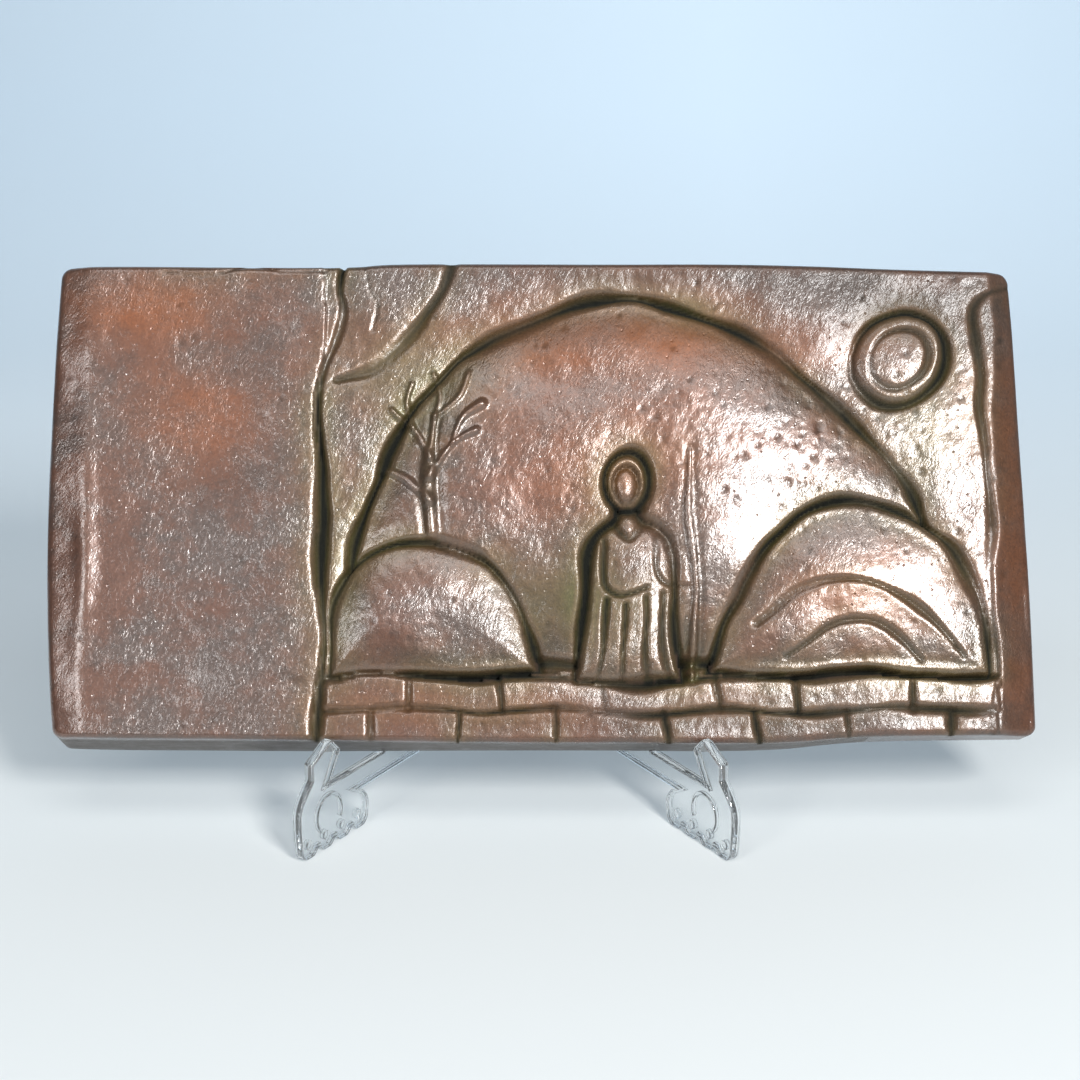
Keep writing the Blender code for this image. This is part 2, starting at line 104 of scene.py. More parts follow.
RIM_STEPS = 2
RIM_SLOPE = 0.00012
PLATE_EDGE_ROUND = 0.0006
SCROLL_CENTRE = (0.0165, 0.0112)
SCROLL_RADIUS = 0.0066
SCROLL_WIDTH = 0.0013
SCROLL_HALF = 0.0014
SCROLL_START = math.radians(-30)
SCROLL_TURN = math.radians(260)
SCROLL_STEPS = 40
KNOB_RADIUS = 0.0017
KNOB_HALF = 0.0016
KNOB_SIDES = 20
TRIM_ROUND = 0.00025
TRIM_SHARP = math.radians(50)
REST_GAP = 0.0003
HALVING_GAP = 0.0004
HOOK_GAP = 0.0008

# The relief is drawn on a sheet of 325 by 160 units, with its origin at the slab's middle, and
# stretched to the slab. Its heights and depths are in millimetres.
SHEET = (325.0, 160.0)

# Where the cast edges waver, as (place along the edge, place across it)
TOP_EDGE = [(-162, 77.9), (-140, 78.5), (-84, 78.1), (-62, 78.4), (-44, 79.4), (20, 79.4),
            (60, 79.4), (88, 78.8), (120, 77.6), (162, 76.4)]
BOTTOM_EDGE = [(-162, -79.0), (-140, -79.6), (-110, -79.8), (-71, -80.0), (-20, -79.8),
               (20, -79.8), (56, -80.0), (80, -79.4), (108, -77.0), (162, -76.2)]
LEFT_EDGE = [(-80, -158.6), (-60, -160.4), (-30, -162.1), (0, -162.5), (26, -162.0),
             (52, -161.2), (80, -159.8)]
RIGHT_EDGE = [(-80, 162.2), (-60, 162.0), (-30, 161.4), (0, 160.2), (36, 158.8), (60, 157.7),
              (80, 156.5)]

# The hand that cut the clay wavers: (reach, wavelength across, wavelength up, turn) of each wave
WAVER = [(0.8, 190, 54, 0.0)]
UNEVENNESS = [(0.25, 75, 120, 0.4), (0.15, 31, -44, 2.0)]
# It also strays by this much. The scales are of its straying across and up, of the width of its
# cuts and of their lips, and each is read this far from the last in the noise.
DRIFT = 0.7
HAND_SCALES = (13.0, 13.0, 21.0, 34.0)
HAND_LAYER = 40.0

# How a mass stands: its level at the rim, how far and how softly it swells above that, the
# channel cut round it, how far the ground sinks towards it and how far its lip is pushed up.
# A cut is a round-bottomed groove, and a negative depth raises a ridge.
Form = namedtuple("Form", "level swell softness channel_depth channel_width sink lip")
Cut = namedtuple("Cut", "depth width")
# A broad soft rise, hollow or patch of colour
Swell = namedtuple("Swell", "centre reach rise")
SINK_REACH = 7.0
# How steep the sides of a cut are, and how much its width, its depth and its lip come and go
CUT_POWER = 2.8
WIDTH_PLAY = 1.5
WIDTH_LIMITS = (0.6, 1.7)
DEPTH_PLAY = 1.1
DEPTH_LIMITS = (0.35, 1.35)
LIP_SHARE = 0.4
LIP_PLAY = 2.0
LIP_LIMITS = (0, 1.6)
LIP_PLACE = 2.4
LIP_WIDTH = 1.5
# A channel this deep is black, over this share of its width, and its olive halo reaches this far
DARK_DEPTH = 2.3
DARK_SHARE = 0.66
HALO_REACH = 4.5

FIELD_END = -72
# The grid is this much coarser across the bare field
FIELD_COARSENESS = 1.6
FIELD_LEVEL = 0.5
FIELD_SWELLS = [Swell((-112, -4), (34, 62), -1.6), Swell((-132, 46), (24, 18), 0.6),
                Swell((-98, -52), (22, 18), 0.6), Swell((-86, 20), (12, 26), 0.5),
                Swell((-104, 44), (14, 12), -0.5), Swell((-149, -14), (3.2, 34), 0.8),
                Swell((-147, 58), (4, 16), 0.5)]
SKY_LEVEL = 0.6
SKY_SWELLS = [Swell((20, 60), (300, 30), -1.2), Swell((96, 62), (14, 12), 0.6)]

GREAT_HILL = [(-52, -54), (-61, -22), (-50, 16), (-26, 47), (6, 63), (38, 66), (68, 55), (96, 33),
              (120, 6), (131, -24), (126, -54)]
GREAT_HILL_FORM = Form(-0.4, 5.8, 15.0, 2.6, 1.6, 1.3, 0.5)
GREAT_HILL_SWELLS = [Swell((-6, -22), (20, 34), -1.7), Swell((66, 34), (26, 14), 0.9),
                     Swell((84, -6), (14, 24), -1.1), Swell((10, 40), (18, 10), -0.8),
                     Swell((-30, 24), (13, 18), 0.8), Swell((54, 2), (14, 26), 0.7)]
LEFT_HILL = [(-69, -57), (-68, -36), (-56, -19), (-40, -13), (-22, -18), (-7, -33), (0, -57)]
LEFT_HILL_FORM = Form(0.6, 3.6, 9.0, 2.4, 1.3, 0.8, 0.5)
LEFT_HILL_SWELLS = [Swell((-26, -42), (14, 10), -0.9), Swell((-52, -34), (9, 12), 0.5)]
RIGHT_HILL = [(56, -57), (62, -34), (76, -13), (96, -1), (118, -3), (136, -16), (145, -36),
              (146, -57)]
RIGHT_HILL_FORM = Form(0.6, 4.4, 12.0, 2.4, 1.3, 0.8, 0.5)
RIGHT_HILL_SWELLS = [Swell((92, -22), (16, 10), 0.7), Swell((122, -40), (14, 14), -1.0)]
FURROWS = [[(70, -40), (84, -29), (104, -27), (124, -35), (137, -50)],
           [(80, -50), (94, -41), (110, -41), (124, -52)]]
FURROW_CUT = Cut(0.9, 0.9)
DISC_CENTRE = (119, 47)
DISC_RADIUS = 15
DISC_FORM = Form(0.4, 2.2, 5.0, 1.8, 1.2, 0.8, 0.4)
DISC_RING = 9.5
DISC_RING_CUT = Cut(0.8, 0.9)

ROBE = [(12, -59), (14.5, -38), (15, -18), (18, -10.5), (24, -6.5), (26, -2.5), (32, -2.5),
        (34, -6.5), (40, -10.5), (43, -18), (43.5, -38), (47, -59)]
ROBE_FORM = Form(2.6, 2.4, 4.0, 2.5, 1.3, 0.6, 0.3)
HOOD_CENTRE = (29, 5.6)
HOOD_RADII = (7.6, 9.4)
HOOD_FORM = Form(2.8, 2.6, 3.0, 2.2, 1.2, 0.5, 0.3)
FACE_CENTRE = (29, 4.4)
FACE_RADII = (4.5, 6.0)
FACE_FORM = Form(2.4, 1.8, 2.2, 0.9, 0.7, 0.0, 0.0)
ROBE_LINES = [[(38.5, -12), (37, -22), (40, -28), (47, -29.5)],
              [(20, -13), (20.5, -26), (26, -31), (34, -29)],
              [(22, -32), (21.5, -46), (19, -58)], [(28, -34), (28, -46), (27, -58)],
              [(34, -32), (35, -46), (35.5, -58)], [(39.5, -31), (40.5, -46), (42.5, -58)],
              [(24, -8.5), (29, -13), (34, -8.5)]]
ROBE_LINE_CUT = Cut(1.2, 0.9)
STAFF = [(50.5, -58), (50, -30), (49.5, -6), (49, 16)]
STAFF_CUT = Cut(-2.4, 1.1)
STAFF_BED_CUT = Cut(1.2, 2.6)

GROUND_TOP = -57.5
GROUND_END = 149
GROUND_LEVEL = 1.5
STONE_TILT = 0.5
GROUND_STROKE = [(-70, -58), (-30, -57.5), (13, -58.5), (46, -58.5), (100, -57), (148, -57)]
GROUND_CUT = Cut(2.0, 1.1)
COURSE_LINE = [(-70, -68.5), (-30, -68), (30, -69), (90, -68.5), (148, -67.5)]
COURSE_CUT = Cut(1.3, 0.9)
UPPER_JOINTS = [-44, -14, 20, 58, 84, 121]
LOWER_JOINTS = [-55, -27, 4, 40, 70, 100, 134]
JOINT_CUT = Cut(1.2, 0.9)

TRUNK = [(-36, -11), (-37.5, 2), (-35.5, 16), (-34, 28)]
TRUNK_CUT = Cut(-2.0, 1.5)
TRUNK_BED_CUT = Cut(1.0, 3.0)
BRANCHES = [[(-35.5, 14), (-41, 24), (-48, 31)], [(-34, 27), (-33, 34), (-36, 42)],
            [(-36.5, 8), (-28, 18), (-20, 22)], [(-37, 0), (-45, 8), (-53, 11)],
            [(-34, 27), (-27, 33), (-24, 41)], [(-41, 24), (-43, 33), (-42, 39)],
            [(-28, 18), (-25, 26), (-19, 31)]]
BRANCH_CUT = Cut(-1.2, 0.9)
RIDGE_LINE = [(-67, 40), (-54, 46), (-42, 57), (-32, 70), (-28, 82)]
RIDGE_CUT = Cut(1.5, 1.4)
MARGIN_LINE = [(148, -78), (148.5, -40), (147.5, 0), (146, 40), (144, 64), (158, 73)]
MARGIN_CUT = Cut(1.0, 1.2)
DIVIDER = [(-72, -82), (-71.5, -50), (-71, -20), (-72.5, 8), (-73, 30), (-70, 48), (-66, 62),
           (-67, 72), (-64, 82)]
DIVIDER_CUT = Cut(3.0, 1.3)

# The left and right margins roll off towards the edge: where they start, over what, how deep and
# how round
LEFT_MARGIN = (-150, 12, 2.6, 1.2)
RIGHT_MARGIN = (150, 10, 5.0, 1.0)

# The skin of the casting: how broad its swells, lumps, wrinkles and strokes are, in millimetres,
# how much of each there is, and how close to the edge it reaches
SWELL_SCALE = 26.0
LUMP_SCALE = 9.0
WRINKLE_SCALES = (3.0, 3.4)
WRINKLE_FRACTAL = (0.8, 2.0, 3)
STROKE_SCALES = (1.9, 8.0)
SWELL_LAYER, WRINKLE_LAYER, STROKE_LAYER = 20.0, 3.0, 9.0
GRAIN_SHARES = (3.4, 1.1, 0.5, 0.22)
SKIN_REACH = 0.4 * EDGE_ROUND

# Cracks and wear of the casting
CRACKS = [[(-126, 77), (-112, 76.2), (-98, 77.2), (-84, 76), (-71, 76.6)],
          [(-58, 79), (-57, 71), (-54.5, 66), (-56, 58)]]
CRACK_CUT = Cut(0.55, 0.45)
STROKE_LEAN = 62
MARK_SEED = 7
PIT_COUNT = 280
PIT_DARKNESS = 0.9
PIT_PATCH = Swell((92, 22), (24, 12), 0.35)
PIT_REACH = (158, 76)
PIT_RADII = (0.5, 1.1)
PIT_DEPTHS = (0.12, 0.4)
SCRATCH_COUNT = 70
SCRATCH_REACH = (155, 74)
SCRATCH_TURN = (math.radians(60), 0.5)
SCRATCH_LENGTHS = (3, 11)
SCRATCH_DEPTHS = (-0.14, 0.12)
SCRATCH_WIDTH = 0.6

# What stands this far over its neighbours, within this many grid steps, is rubbed bright: wear,
# and partly a painted highlight
WEAR_SHEEN_REACH = 3
WEAR_SHEEN_HEIGHT = 0.35 * MM
WEAR_SHEEN_SHARE = 0.25
# The lower wall is filed grey, and slants so that a strip of it shows from the front. The other
# walls and the back are filed less, so that their patina holds.
WALL_PATINA = (0.0, 0.0, 0.0, 0.0)
FILED_HEIGHT = 0.003
FILED_SHARE = 0.35
LOWER_SLANT = [(-170, 2.6), (-80, 2.4), (-20, 1.4), (60, 1.2), (110, 0.5), (170, 0.4)]
SLANT_REACH = 0.012

# Patina: where the colour runs warm, and where it runs olive
WARM_PATCHES = [Swell((-130, 66), (26, 12), 1.0), Swell((-112, 30), (26, 18), 0.65),
                Swell((30, 52), (60, 14), 0.9), Swell((156, -10), (6, 70), 0.7),
                Swell((20, 10), (34, 22), 0.5), Swell((-20, -68), (60, 8), 0.5),
                Swell((100, -30), (22, 16), 0.35)]
OLIVE_PATCHES = [Swell((-40, 40), (20, 16), 0.6), Swell((10, -32), (20, 14), 0.5),
                 Swell((128, 20), (12, 16), 0.6), Swell((-64, -30), (6, 26), 0.5)]
# and where it is made dark and dull: painted shade on the upper band, the top and low part of the
# great hill, the right margin and the lower band, where less light falls, with two faint darker
# patches in the bare field
DULL_SHADE_PATCHES = [Swell((122, 66), (52, 17), 0.4), Swell((30, 78), (90, 8), 0.3),
                Swell((156, 0), (7, 80), 0.45), Swell((50, -72), (110, 9), 0.33),
                Swell((20, 55), (50, 9), 0.22), Swell((16, -34), (28, 16), 0.24),
                Swell((-110, 52), (40, 14), 0.1), Swell((-106, 6), (20, 11), 0.12)]


def linear(colour):
    """An sRGB hex colour as the linear RGBA that Blender's sockets take."""
    shares = [int(colour[i:i + 2], 16) / 255 for i in (1, 3, 5)]
    return (*(c / 12.92 if c <= 0.04045 else ((c + 0.055) / 1.055) ** 2.4 for c in shares), 1.0)


class SlabSettings(bpy.types.PropertyGroup):
    columns: bpy.props.IntProperty(
        name="Columns", description="Faces across the relief", default=424, min=60, max=440)
    rows: bpy.props.IntProperty(
        name="Rows", description="Faces up the relief", default=212, min=30, max=220)
    grain: bpy.props.FloatProperty(
        name="Grain", description="Height of the leathery casting skin", default=0.17 * MM,
        unit="LENGTH", precision=5)
    brown: bpy.props.FloatVectorProperty(
        name="Brown", description="Red-brown patina", subtype="COLOR", size=4,
        default=linear("#603D2C"))
    grey: bpy.props.FloatVectorProperty(
        name="Grey", description="Purple-grey patina", subtype="COLOR", size=4,
        default=linear("#524139"))
    warm: bpy.props.FloatVectorProperty(
        name="Warm", description="Orange-brown patina", subtype="COLOR", size=4,
        default=linear("#8E4F24"))
    olive: bpy.props.FloatVectorProperty(
        name="Olive", description="Olive patina beside the channels", subtype="COLOR", size=4,
        default=linear("#5E5A30"))
    black: bpy.props.FloatVectorProperty(
        name="Black", description="Green-black of the channels", subtype="COLOR", size=4,
        default=linear("#15170F"))
    # Rubbed bronze on the crests, partly a painted highlight
    worn_sheen: bpy.props.FloatVectorProperty(
        name="Worn", description="Bronze worn bright on what stands proud", subtype="COLOR",
        size=4, default=linear("#83614F"))
    filed: bpy.props.FloatVectorProperty(
        name="Filed", description="Filed bronze of the walls and the back", subtype="COLOR",
        size=4, default=linear("#574D46"))


class EaselSettings(bpy.types.PropertyGroup):
    rim_width: bpy.props.FloatProperty(
        name="Rim width", description="Width of each step of the raised rim", default=0.68 * MM,
        unit="LENGTH", precision=5)
    rim_step: bpy.props.FloatProperty(
        name="Rim step", description="How far each step of the rim stands over the next",
        default=0.45 * MM, unit="LENGTH", precision=5)
    tint: bpy.props.FloatVectorProperty(
        name="Tint", description="Colour of the clear plastic", subtype="COLOR", size=4,
        default=linear("#F7FAFB"))


class StageSettings(bpy.types.PropertyGroup):
    paper: bpy.props.FloatVectorProperty(
        name="Paper", description="Colour of the paper sweep", subtype="COLOR", size=4,
        default=linear("#C7C8C5"))
    paper_far: bpy.props.FloatVectorProperty(
        name="Paper, far", description="Colour of the sweep where it rises", subtype="COLOR",
        size=4, default=linear("#D2E4F2"))
    # The paper emits light as a painted glow: up the sweep, and on the floor enough to lift the
    # shade under the slab
    glow: bpy.props.FloatProperty(
        name="Glow", description="Light that comes through the rising paper", default=0.37, min=0)
    floor_glow: bpy.props.FloatProperty(
        name="Floor glow", description="Light that comes through the floor", default=0.29, min=0)
    camera_elevation: bpy.props.FloatProperty(
        name="Camera elevation", description="Angle that the camera looks down", subtype="ANGLE",
        default=math.radians(19.7))
    camera_distance: bpy.props.FloatProperty(
        name="Camera distance", description="From the middle of the relief", default=0.839,
        unit="LENGTH")


def smooth_line(points, steps=6):
    """Points along a Catmull-Rom curve through the given ones."""
    points = np.array(points, float)
    last = len(points) - 1
    made = []
    for i in range(last):
        p0, p1, p2, p3 = (points[min(max(i + k, 0), last)] for k in (-1, 0, 1, 2))
        for t in np.arange(steps) / steps:
            made.append(0.5 * (2 * p1 + (p2 - p0) * t + (2 * p0 - 5 * p1 + 4 * p2 - p3) * t ** 2
                               + (3 * p1 - p0 - 3 * p2 + p3) * t ** 3))
    made.append(points[-1])
    return np.array(made)


def closed_over_base(points):
    """A smooth line through the points, closed by a straight base."""
    line = smooth_line(points)
    return np.vstack([line, line[:1]])


def ellipse(centre, radii, steps=48):
    turns = np.linspace(0, 2 * math.pi, steps + 1)
    return np.column_stack([centre[0] + radii[0] * np.cos(turns),
                            centre[1] + radii[1] * np.sin(turns)])


def distance_to(u, v, line):
    """Distance from every (u, v) to the line."""
    best = np.full(np.shape(u), np.inf)
    for (ax, ay), (bx, by) in zip(line[:-1], line[1:]):
        ex, ey = bx - ax, by - ay
        along = ((u - ax) * ex + (v - ay) * ey) / max(ex * ex + ey * ey, 1e-9)
        along = np.clip(along, 0, 1)
        best = np.minimum(best, np.hypot(u - ax - along * ex, v - ay - along * ey))
    return best


def is_inside(u, v, outline):
    """True for every (u, v) within the closed outline."""
    crossed = np.zeros(np.shape(u), bool)
    for (ax, ay), (bx, by) in zip(outline[:-1], outline[1:]):
        if ay == by:
            continue
        spans = (ay > v) != (by > v)
        crossed ^= spans & (u < ax + (v - ay) * (bx - ax) / (by - ay))
    return crossed


def waves(u, v, kinds):
    """The sum of some waves that run across and up the sheet."""
    return sum(reach * np.sin(2 * math.pi * (u / across + v / up) + turn)
               for reach, across, up, turn in kinds)


def soft_swells(u, v, swells):
    total = np.zeros(np.shape(u))
    for swell in swells:
        across = (u - swell.centre[0]) / swell.reach[0]
        up = (v - swell.centre[1]) / swell.reach[1]
        total += swell.rise * np.exp(-(across ** 2 + up ** 2))
    return total


def hand_noise(u, v):
    """How the hand strays across and up, how wide it cuts and where it leaves a lip."""
    strays = np.empty((len(HAND_SCALES), len(u)))
    for i, (a, b) in enumerate(zip(u, v)):
        for k, scale in enumerate(HAND_SCALES):
            strays[k, i] = noise.noise(Vector((a / scale, b / scale, k * HAND_LAYER)))
    return strays[:2], strays[2], strays[3]


class Relief:
    """The relief at places on the sheet, as it is cut: its height, how deep down a channel a
    place lies, and how near one."""

    def __init__(self, u, v):
        drift, play, lips = hand_noise(u, v)
        self.u = u + waves(u, v, WAVER) + DRIFT * drift[0]
        self.v = v + waves(v, u, WAVER) + DRIFT * drift[1]
        self.play = np.clip(1 + WIDTH_PLAY * play, *WIDTH_LIMITS)
        self.lips = np.clip(LIP_SHARE + LIP_PLAY * lips, *LIP_LIMITS)
        self.hand = np.clip(1 + DEPTH_PLAY * lips + waves(u, v, UNEVENNESS), *DEPTH_LIMITS)
        self.height = np.where(self.u < FIELD_END, FIELD_LEVEL + soft_swells(u, v, FIELD_SWELLS),
                               SKY_LEVEL + soft_swells(u, v, SKY_SWELLS))
        self.depth = np.zeros(np.shape(u))
        self.halo = np.zeros(np.shape(u))

    def groove(self, line, cut):
        """Cuts a groove along a line, as deep as the hand makes it."""
        away = distance_to(self.u, self.v, line)
        width = cut.width * self.play
        self.height = self.height - cut.depth * self.hand * np.exp(-(away / width) ** CUT_POWER)
        strength = min(max(cut.depth, 0) / DARK_DEPTH, 1) * self.hand
        core = strength * np.exp(-(away / (width * DARK_SHARE)) ** 2)
        self.depth = np.maximum(self.depth, core)
        self.halo = np.maximum(self.halo, strength * np.exp(-away / HALO_REACH))

    def draw(self, strokes, cut):
        """Cuts a groove along the smooth line through the points of each stroke."""
        for points in strokes:
            self.groove(smooth_line(points), cut)

    def lay(self, outline, form, swells=()):
        """Lays a swelling mass over what is there and cuts a channel round it."""
        away = distance_to(self.u, self.v, outline)
        within = is_inside(self.u, self.v, outline)
        body = form.level + form.swell * (1 - np.exp(-away / form.softness))
        body += self.lips * form.lip * np.exp(-((away - LIP_PLACE) / LIP_WIDTH) ** 2)
        body += soft_swells(self.u, self.v, swells)
        around = self.height - form.sink * np.exp(-away / SINK_REACH)
        self.height = np.where(within, body, around)
        self.depth = np.where(within, 0, self.depth)
        self.halo = np.where(within, 0, self.halo)
        self.groove(outline, Cut(form.channel_depth, form.channel_width))

    def raise_bar(self, line, cut, bed):
        """Raises a round bar along a line, in a shallow bed."""
        self.groove(line, bed)
        self.groove(line, cut)
        self.depth *= 1 - np.exp(-(distance_to(self.u, self.v, line) / -cut.depth) ** 2)

    def lay_stones(self):
        """Lays the two courses of stones under the hills, each stone a little tilted."""
        over = self.v > COURSE_LINE[0][1]
        tilt = np.zeros(np.shape(self.u))
        for course, joints in ((over, UPPER_JOINTS), (~over, LOWER_JOINTS)):
            ends = [FIELD_END] + joints + [GROUND_END]
            for i, (left, right) in enumerate(zip(ends[:-1], ends[1:])):
                stone = course & (self.u >= left) & (self.u < right)
                lean = STONE_TILT * (1 if i % 2 else -1)
                share = (self.u - left) / (right - left) - 0.5
                tilt = np.where(stone, lean * share * (1 if i % 3 else -1), tilt)
        ground = (self.v < GROUND_TOP) & (self.u > FIELD_END) & (self.u < GROUND_END)
        self.height = np.where(ground, GROUND_LEVEL + tilt, self.height)
        self.draw([GROUND_STROKE], GROUND_CUT)
        self.draw([COURSE_LINE], COURSE_CUT)
        middle = COURSE_LINE[0][1]
        for joints, top, low in ((UPPER_JOINTS, GROUND_TOP, middle),
                                 (LOWER_JOINTS, middle, -SHEET[1] / 2)):
            self.draw([[(joint, top), (joint + 1, low)] for joint in joints], JOINT_CUT)

    def lay_figure(self):
        """Lays the hooded figure in its robe, with its staff."""
        self.raise_bar(smooth_line(STAFF), STAFF_CUT, STAFF_BED_CUT)
        self.lay(closed_over_base(ROBE), ROBE_FORM)
        self.lay(ellipse(HOOD_CENTRE, HOOD_RADII), HOOD_FORM)
        self.lay(ellipse(FACE_CENTRE, FACE_RADII), FACE_FORM)
        self.draw(ROBE_LINES, ROBE_LINE_CUT)

    def roll_margins(self):
        """Lowers the relief towards its left and right edges."""
        for side, (start, over, depth, power) in ((-1, LEFT_MARGIN), (1, RIGHT_MARGIN)):
            share = np.clip(side * (self.u - start) / over, 0, 1)
            self.height = self.height - depth * share ** power


def carve(u, v):
    """The whole relief, back to front."""
    relief = Relief(u, v)
    relief.lay(ellipse(DISC_CENTRE, (DISC_RADIUS, DISC_RADIUS)), DISC_FORM)
    relief.groove(ellipse(DISC_CENTRE, (DISC_RING, DISC_RING)), DISC_RING_CUT)
    relief.lay(closed_over_base(GREAT_HILL), GREAT_HILL_FORM, GREAT_HILL_SWELLS)
    relief.raise_bar(smooth_line(TRUNK), TRUNK_CUT, TRUNK_BED_CUT)
    relief.draw(BRANCHES, BRANCH_CUT)
    relief.lay(closed_over_base(LEFT_HILL), LEFT_HILL_FORM, LEFT_HILL_SWELLS)
    relief.lay(closed_over_base(RIGHT_HILL), RIGHT_HILL_FORM, RIGHT_HILL_SWELLS)
    relief.draw(FURROWS, FURROW_CUT)
    relief.lay_stones()
    relief.lay_figure()
    relief.draw([RIDGE_LINE], RIDGE_CUT)
    relief.draw([MARGIN_LINE], MARGIN_CUT)
    relief.draw([DIVIDER], DIVIDER_CUT)
    relief.draw(CRACKS, CRACK_CUT)
    relief.roll_margins()
    return relief


def casting_marks(u, v):
    """Pits and short scratches in the skin of the casting, in millimetres."""
    draw = random.Random(MARK_SEED)
    marks = np.zeros(np.shape(u))
    for _ in range(PIT_COUNT):
        if draw.random() < PIT_PATCH.rise:
            pu, pv = (draw.gauss(PIT_PATCH.centre[k], PIT_PATCH.reach[k]) for k in (0, 1))
        else:
            pu, pv = (draw.uniform(-reach, reach) for reach in PIT_REACH)
        radius, depth = draw.uniform(*PIT_RADII), draw.uniform(*PIT_DEPTHS)
        near = np.abs(u - pu) + np.abs(v - pv) < 4 * radius
        away = np.hypot(u[near] - pu, v[near] - pv)
        marks[near] -= depth * np.exp(-(away / radius) ** 2)
    for _ in range(SCRATCH_COUNT):
        pu, pv = (draw.uniform(-reach, reach) for reach in SCRATCH_REACH)
        turn, length = draw.gauss(*SCRATCH_TURN), draw.uniform(*SCRATCH_LENGTHS)
        end = (pu + length * math.cos(turn), pv + length * math.sin(turn))
        near = np.hypot(u - pu, v - pv) < length + 4
        away = distance_to(u[near], v[near], [(pu, pv), end])
        marks[near] -= draw.uniform(*SCRATCH_DEPTHS) * np.exp(-(away / SCRATCH_WIDTH) ** 2)
    return marks


def casting_grain(u, v):
    """The leathery skin of the casting, as shares of its height: broad swells and lumps, fine
    wrinkles and the strokes of the tool that finished the clay."""
    lean = math.radians(STROKE_LEAN)
    along = u * math.cos(lean) + v * math.sin(lean)
    across = v * math.cos(lean) - u * math.sin(lean)
    grain = np.empty(len(u))
    for i, (a, b, s, t) in enumerate(zip(u, v, along, across)):
        swells = noise.noise(Vector((a / SWELL_SCALE, b / SWELL_SCALE, SWELL_LAYER)))
        lumps = noise.noise(Vector((a / LUMP_SCALE, b / LUMP_SCALE, 0.0)))
        wrinkled = Vector((a / WRINKLE_SCALES[0], b / WRINKLE_SCALES[1], WRINKLE_LAYER))
        wrinkles = noise.fractal(wrinkled, *WRINKLE_FRACTAL)
        stroked = Vector((t / STROKE_SCALES[0], s / STROKE_SCALES[1], STROKE_LAYER + lumps))
        parts = (swells, lumps, wrinkles, noise.noise(stroked))
        grain[i] = sum(share * part for share, part in zip(GRAIN_SHARES, parts))
    return grain


def edge_at(edge, places):
    """How far out a wavering edge stands at these places along it."""
    line = smooth_line(edge)
    return np.interp(places, line[:, 0], line[:, 1])


def stations(count, length, rounding, coarse_end=0.5, coarseness=1.0):
    """Places from 0 to 1 along a side, close together over the rounding at its two ends, and
    further apart, by the coarseness, up to the coarse end."""
    turns = np.linspace(0, math.pi / 2, EDGE_STEPS + 1)[:-1]
    start = (1 - np.cos(turns)) * rounding / length
    low, high = rounding / length, 1 - rounding / length
    coarse, fine = (coarse_end - low) / coarseness, high - coarse_end
    shares = np.linspace(0, 1, count + 1 - 2 * EDGE_STEPS)
    middle = np.interp(shares, [0, coarse / (coarse + fine), 1], [low, coarse_end, high])
    return np.concatenate([start, middle, 1 - start[::-1]])


def blurred(heights, reach):
    """The heights of a grid, each averaged with its neighbours within reach."""
    window = np.ones(2 * reach + 1) / (2 * reach + 1)
    for axis in (0, 1):
        padded = np.pad(heights, [(reach, reach) if k == axis else (0, 0) for k in (0, 1)], "edge")
        heights = np.apply_along_axis(np.convolve, axis, padded, window, "valid")
    return heights


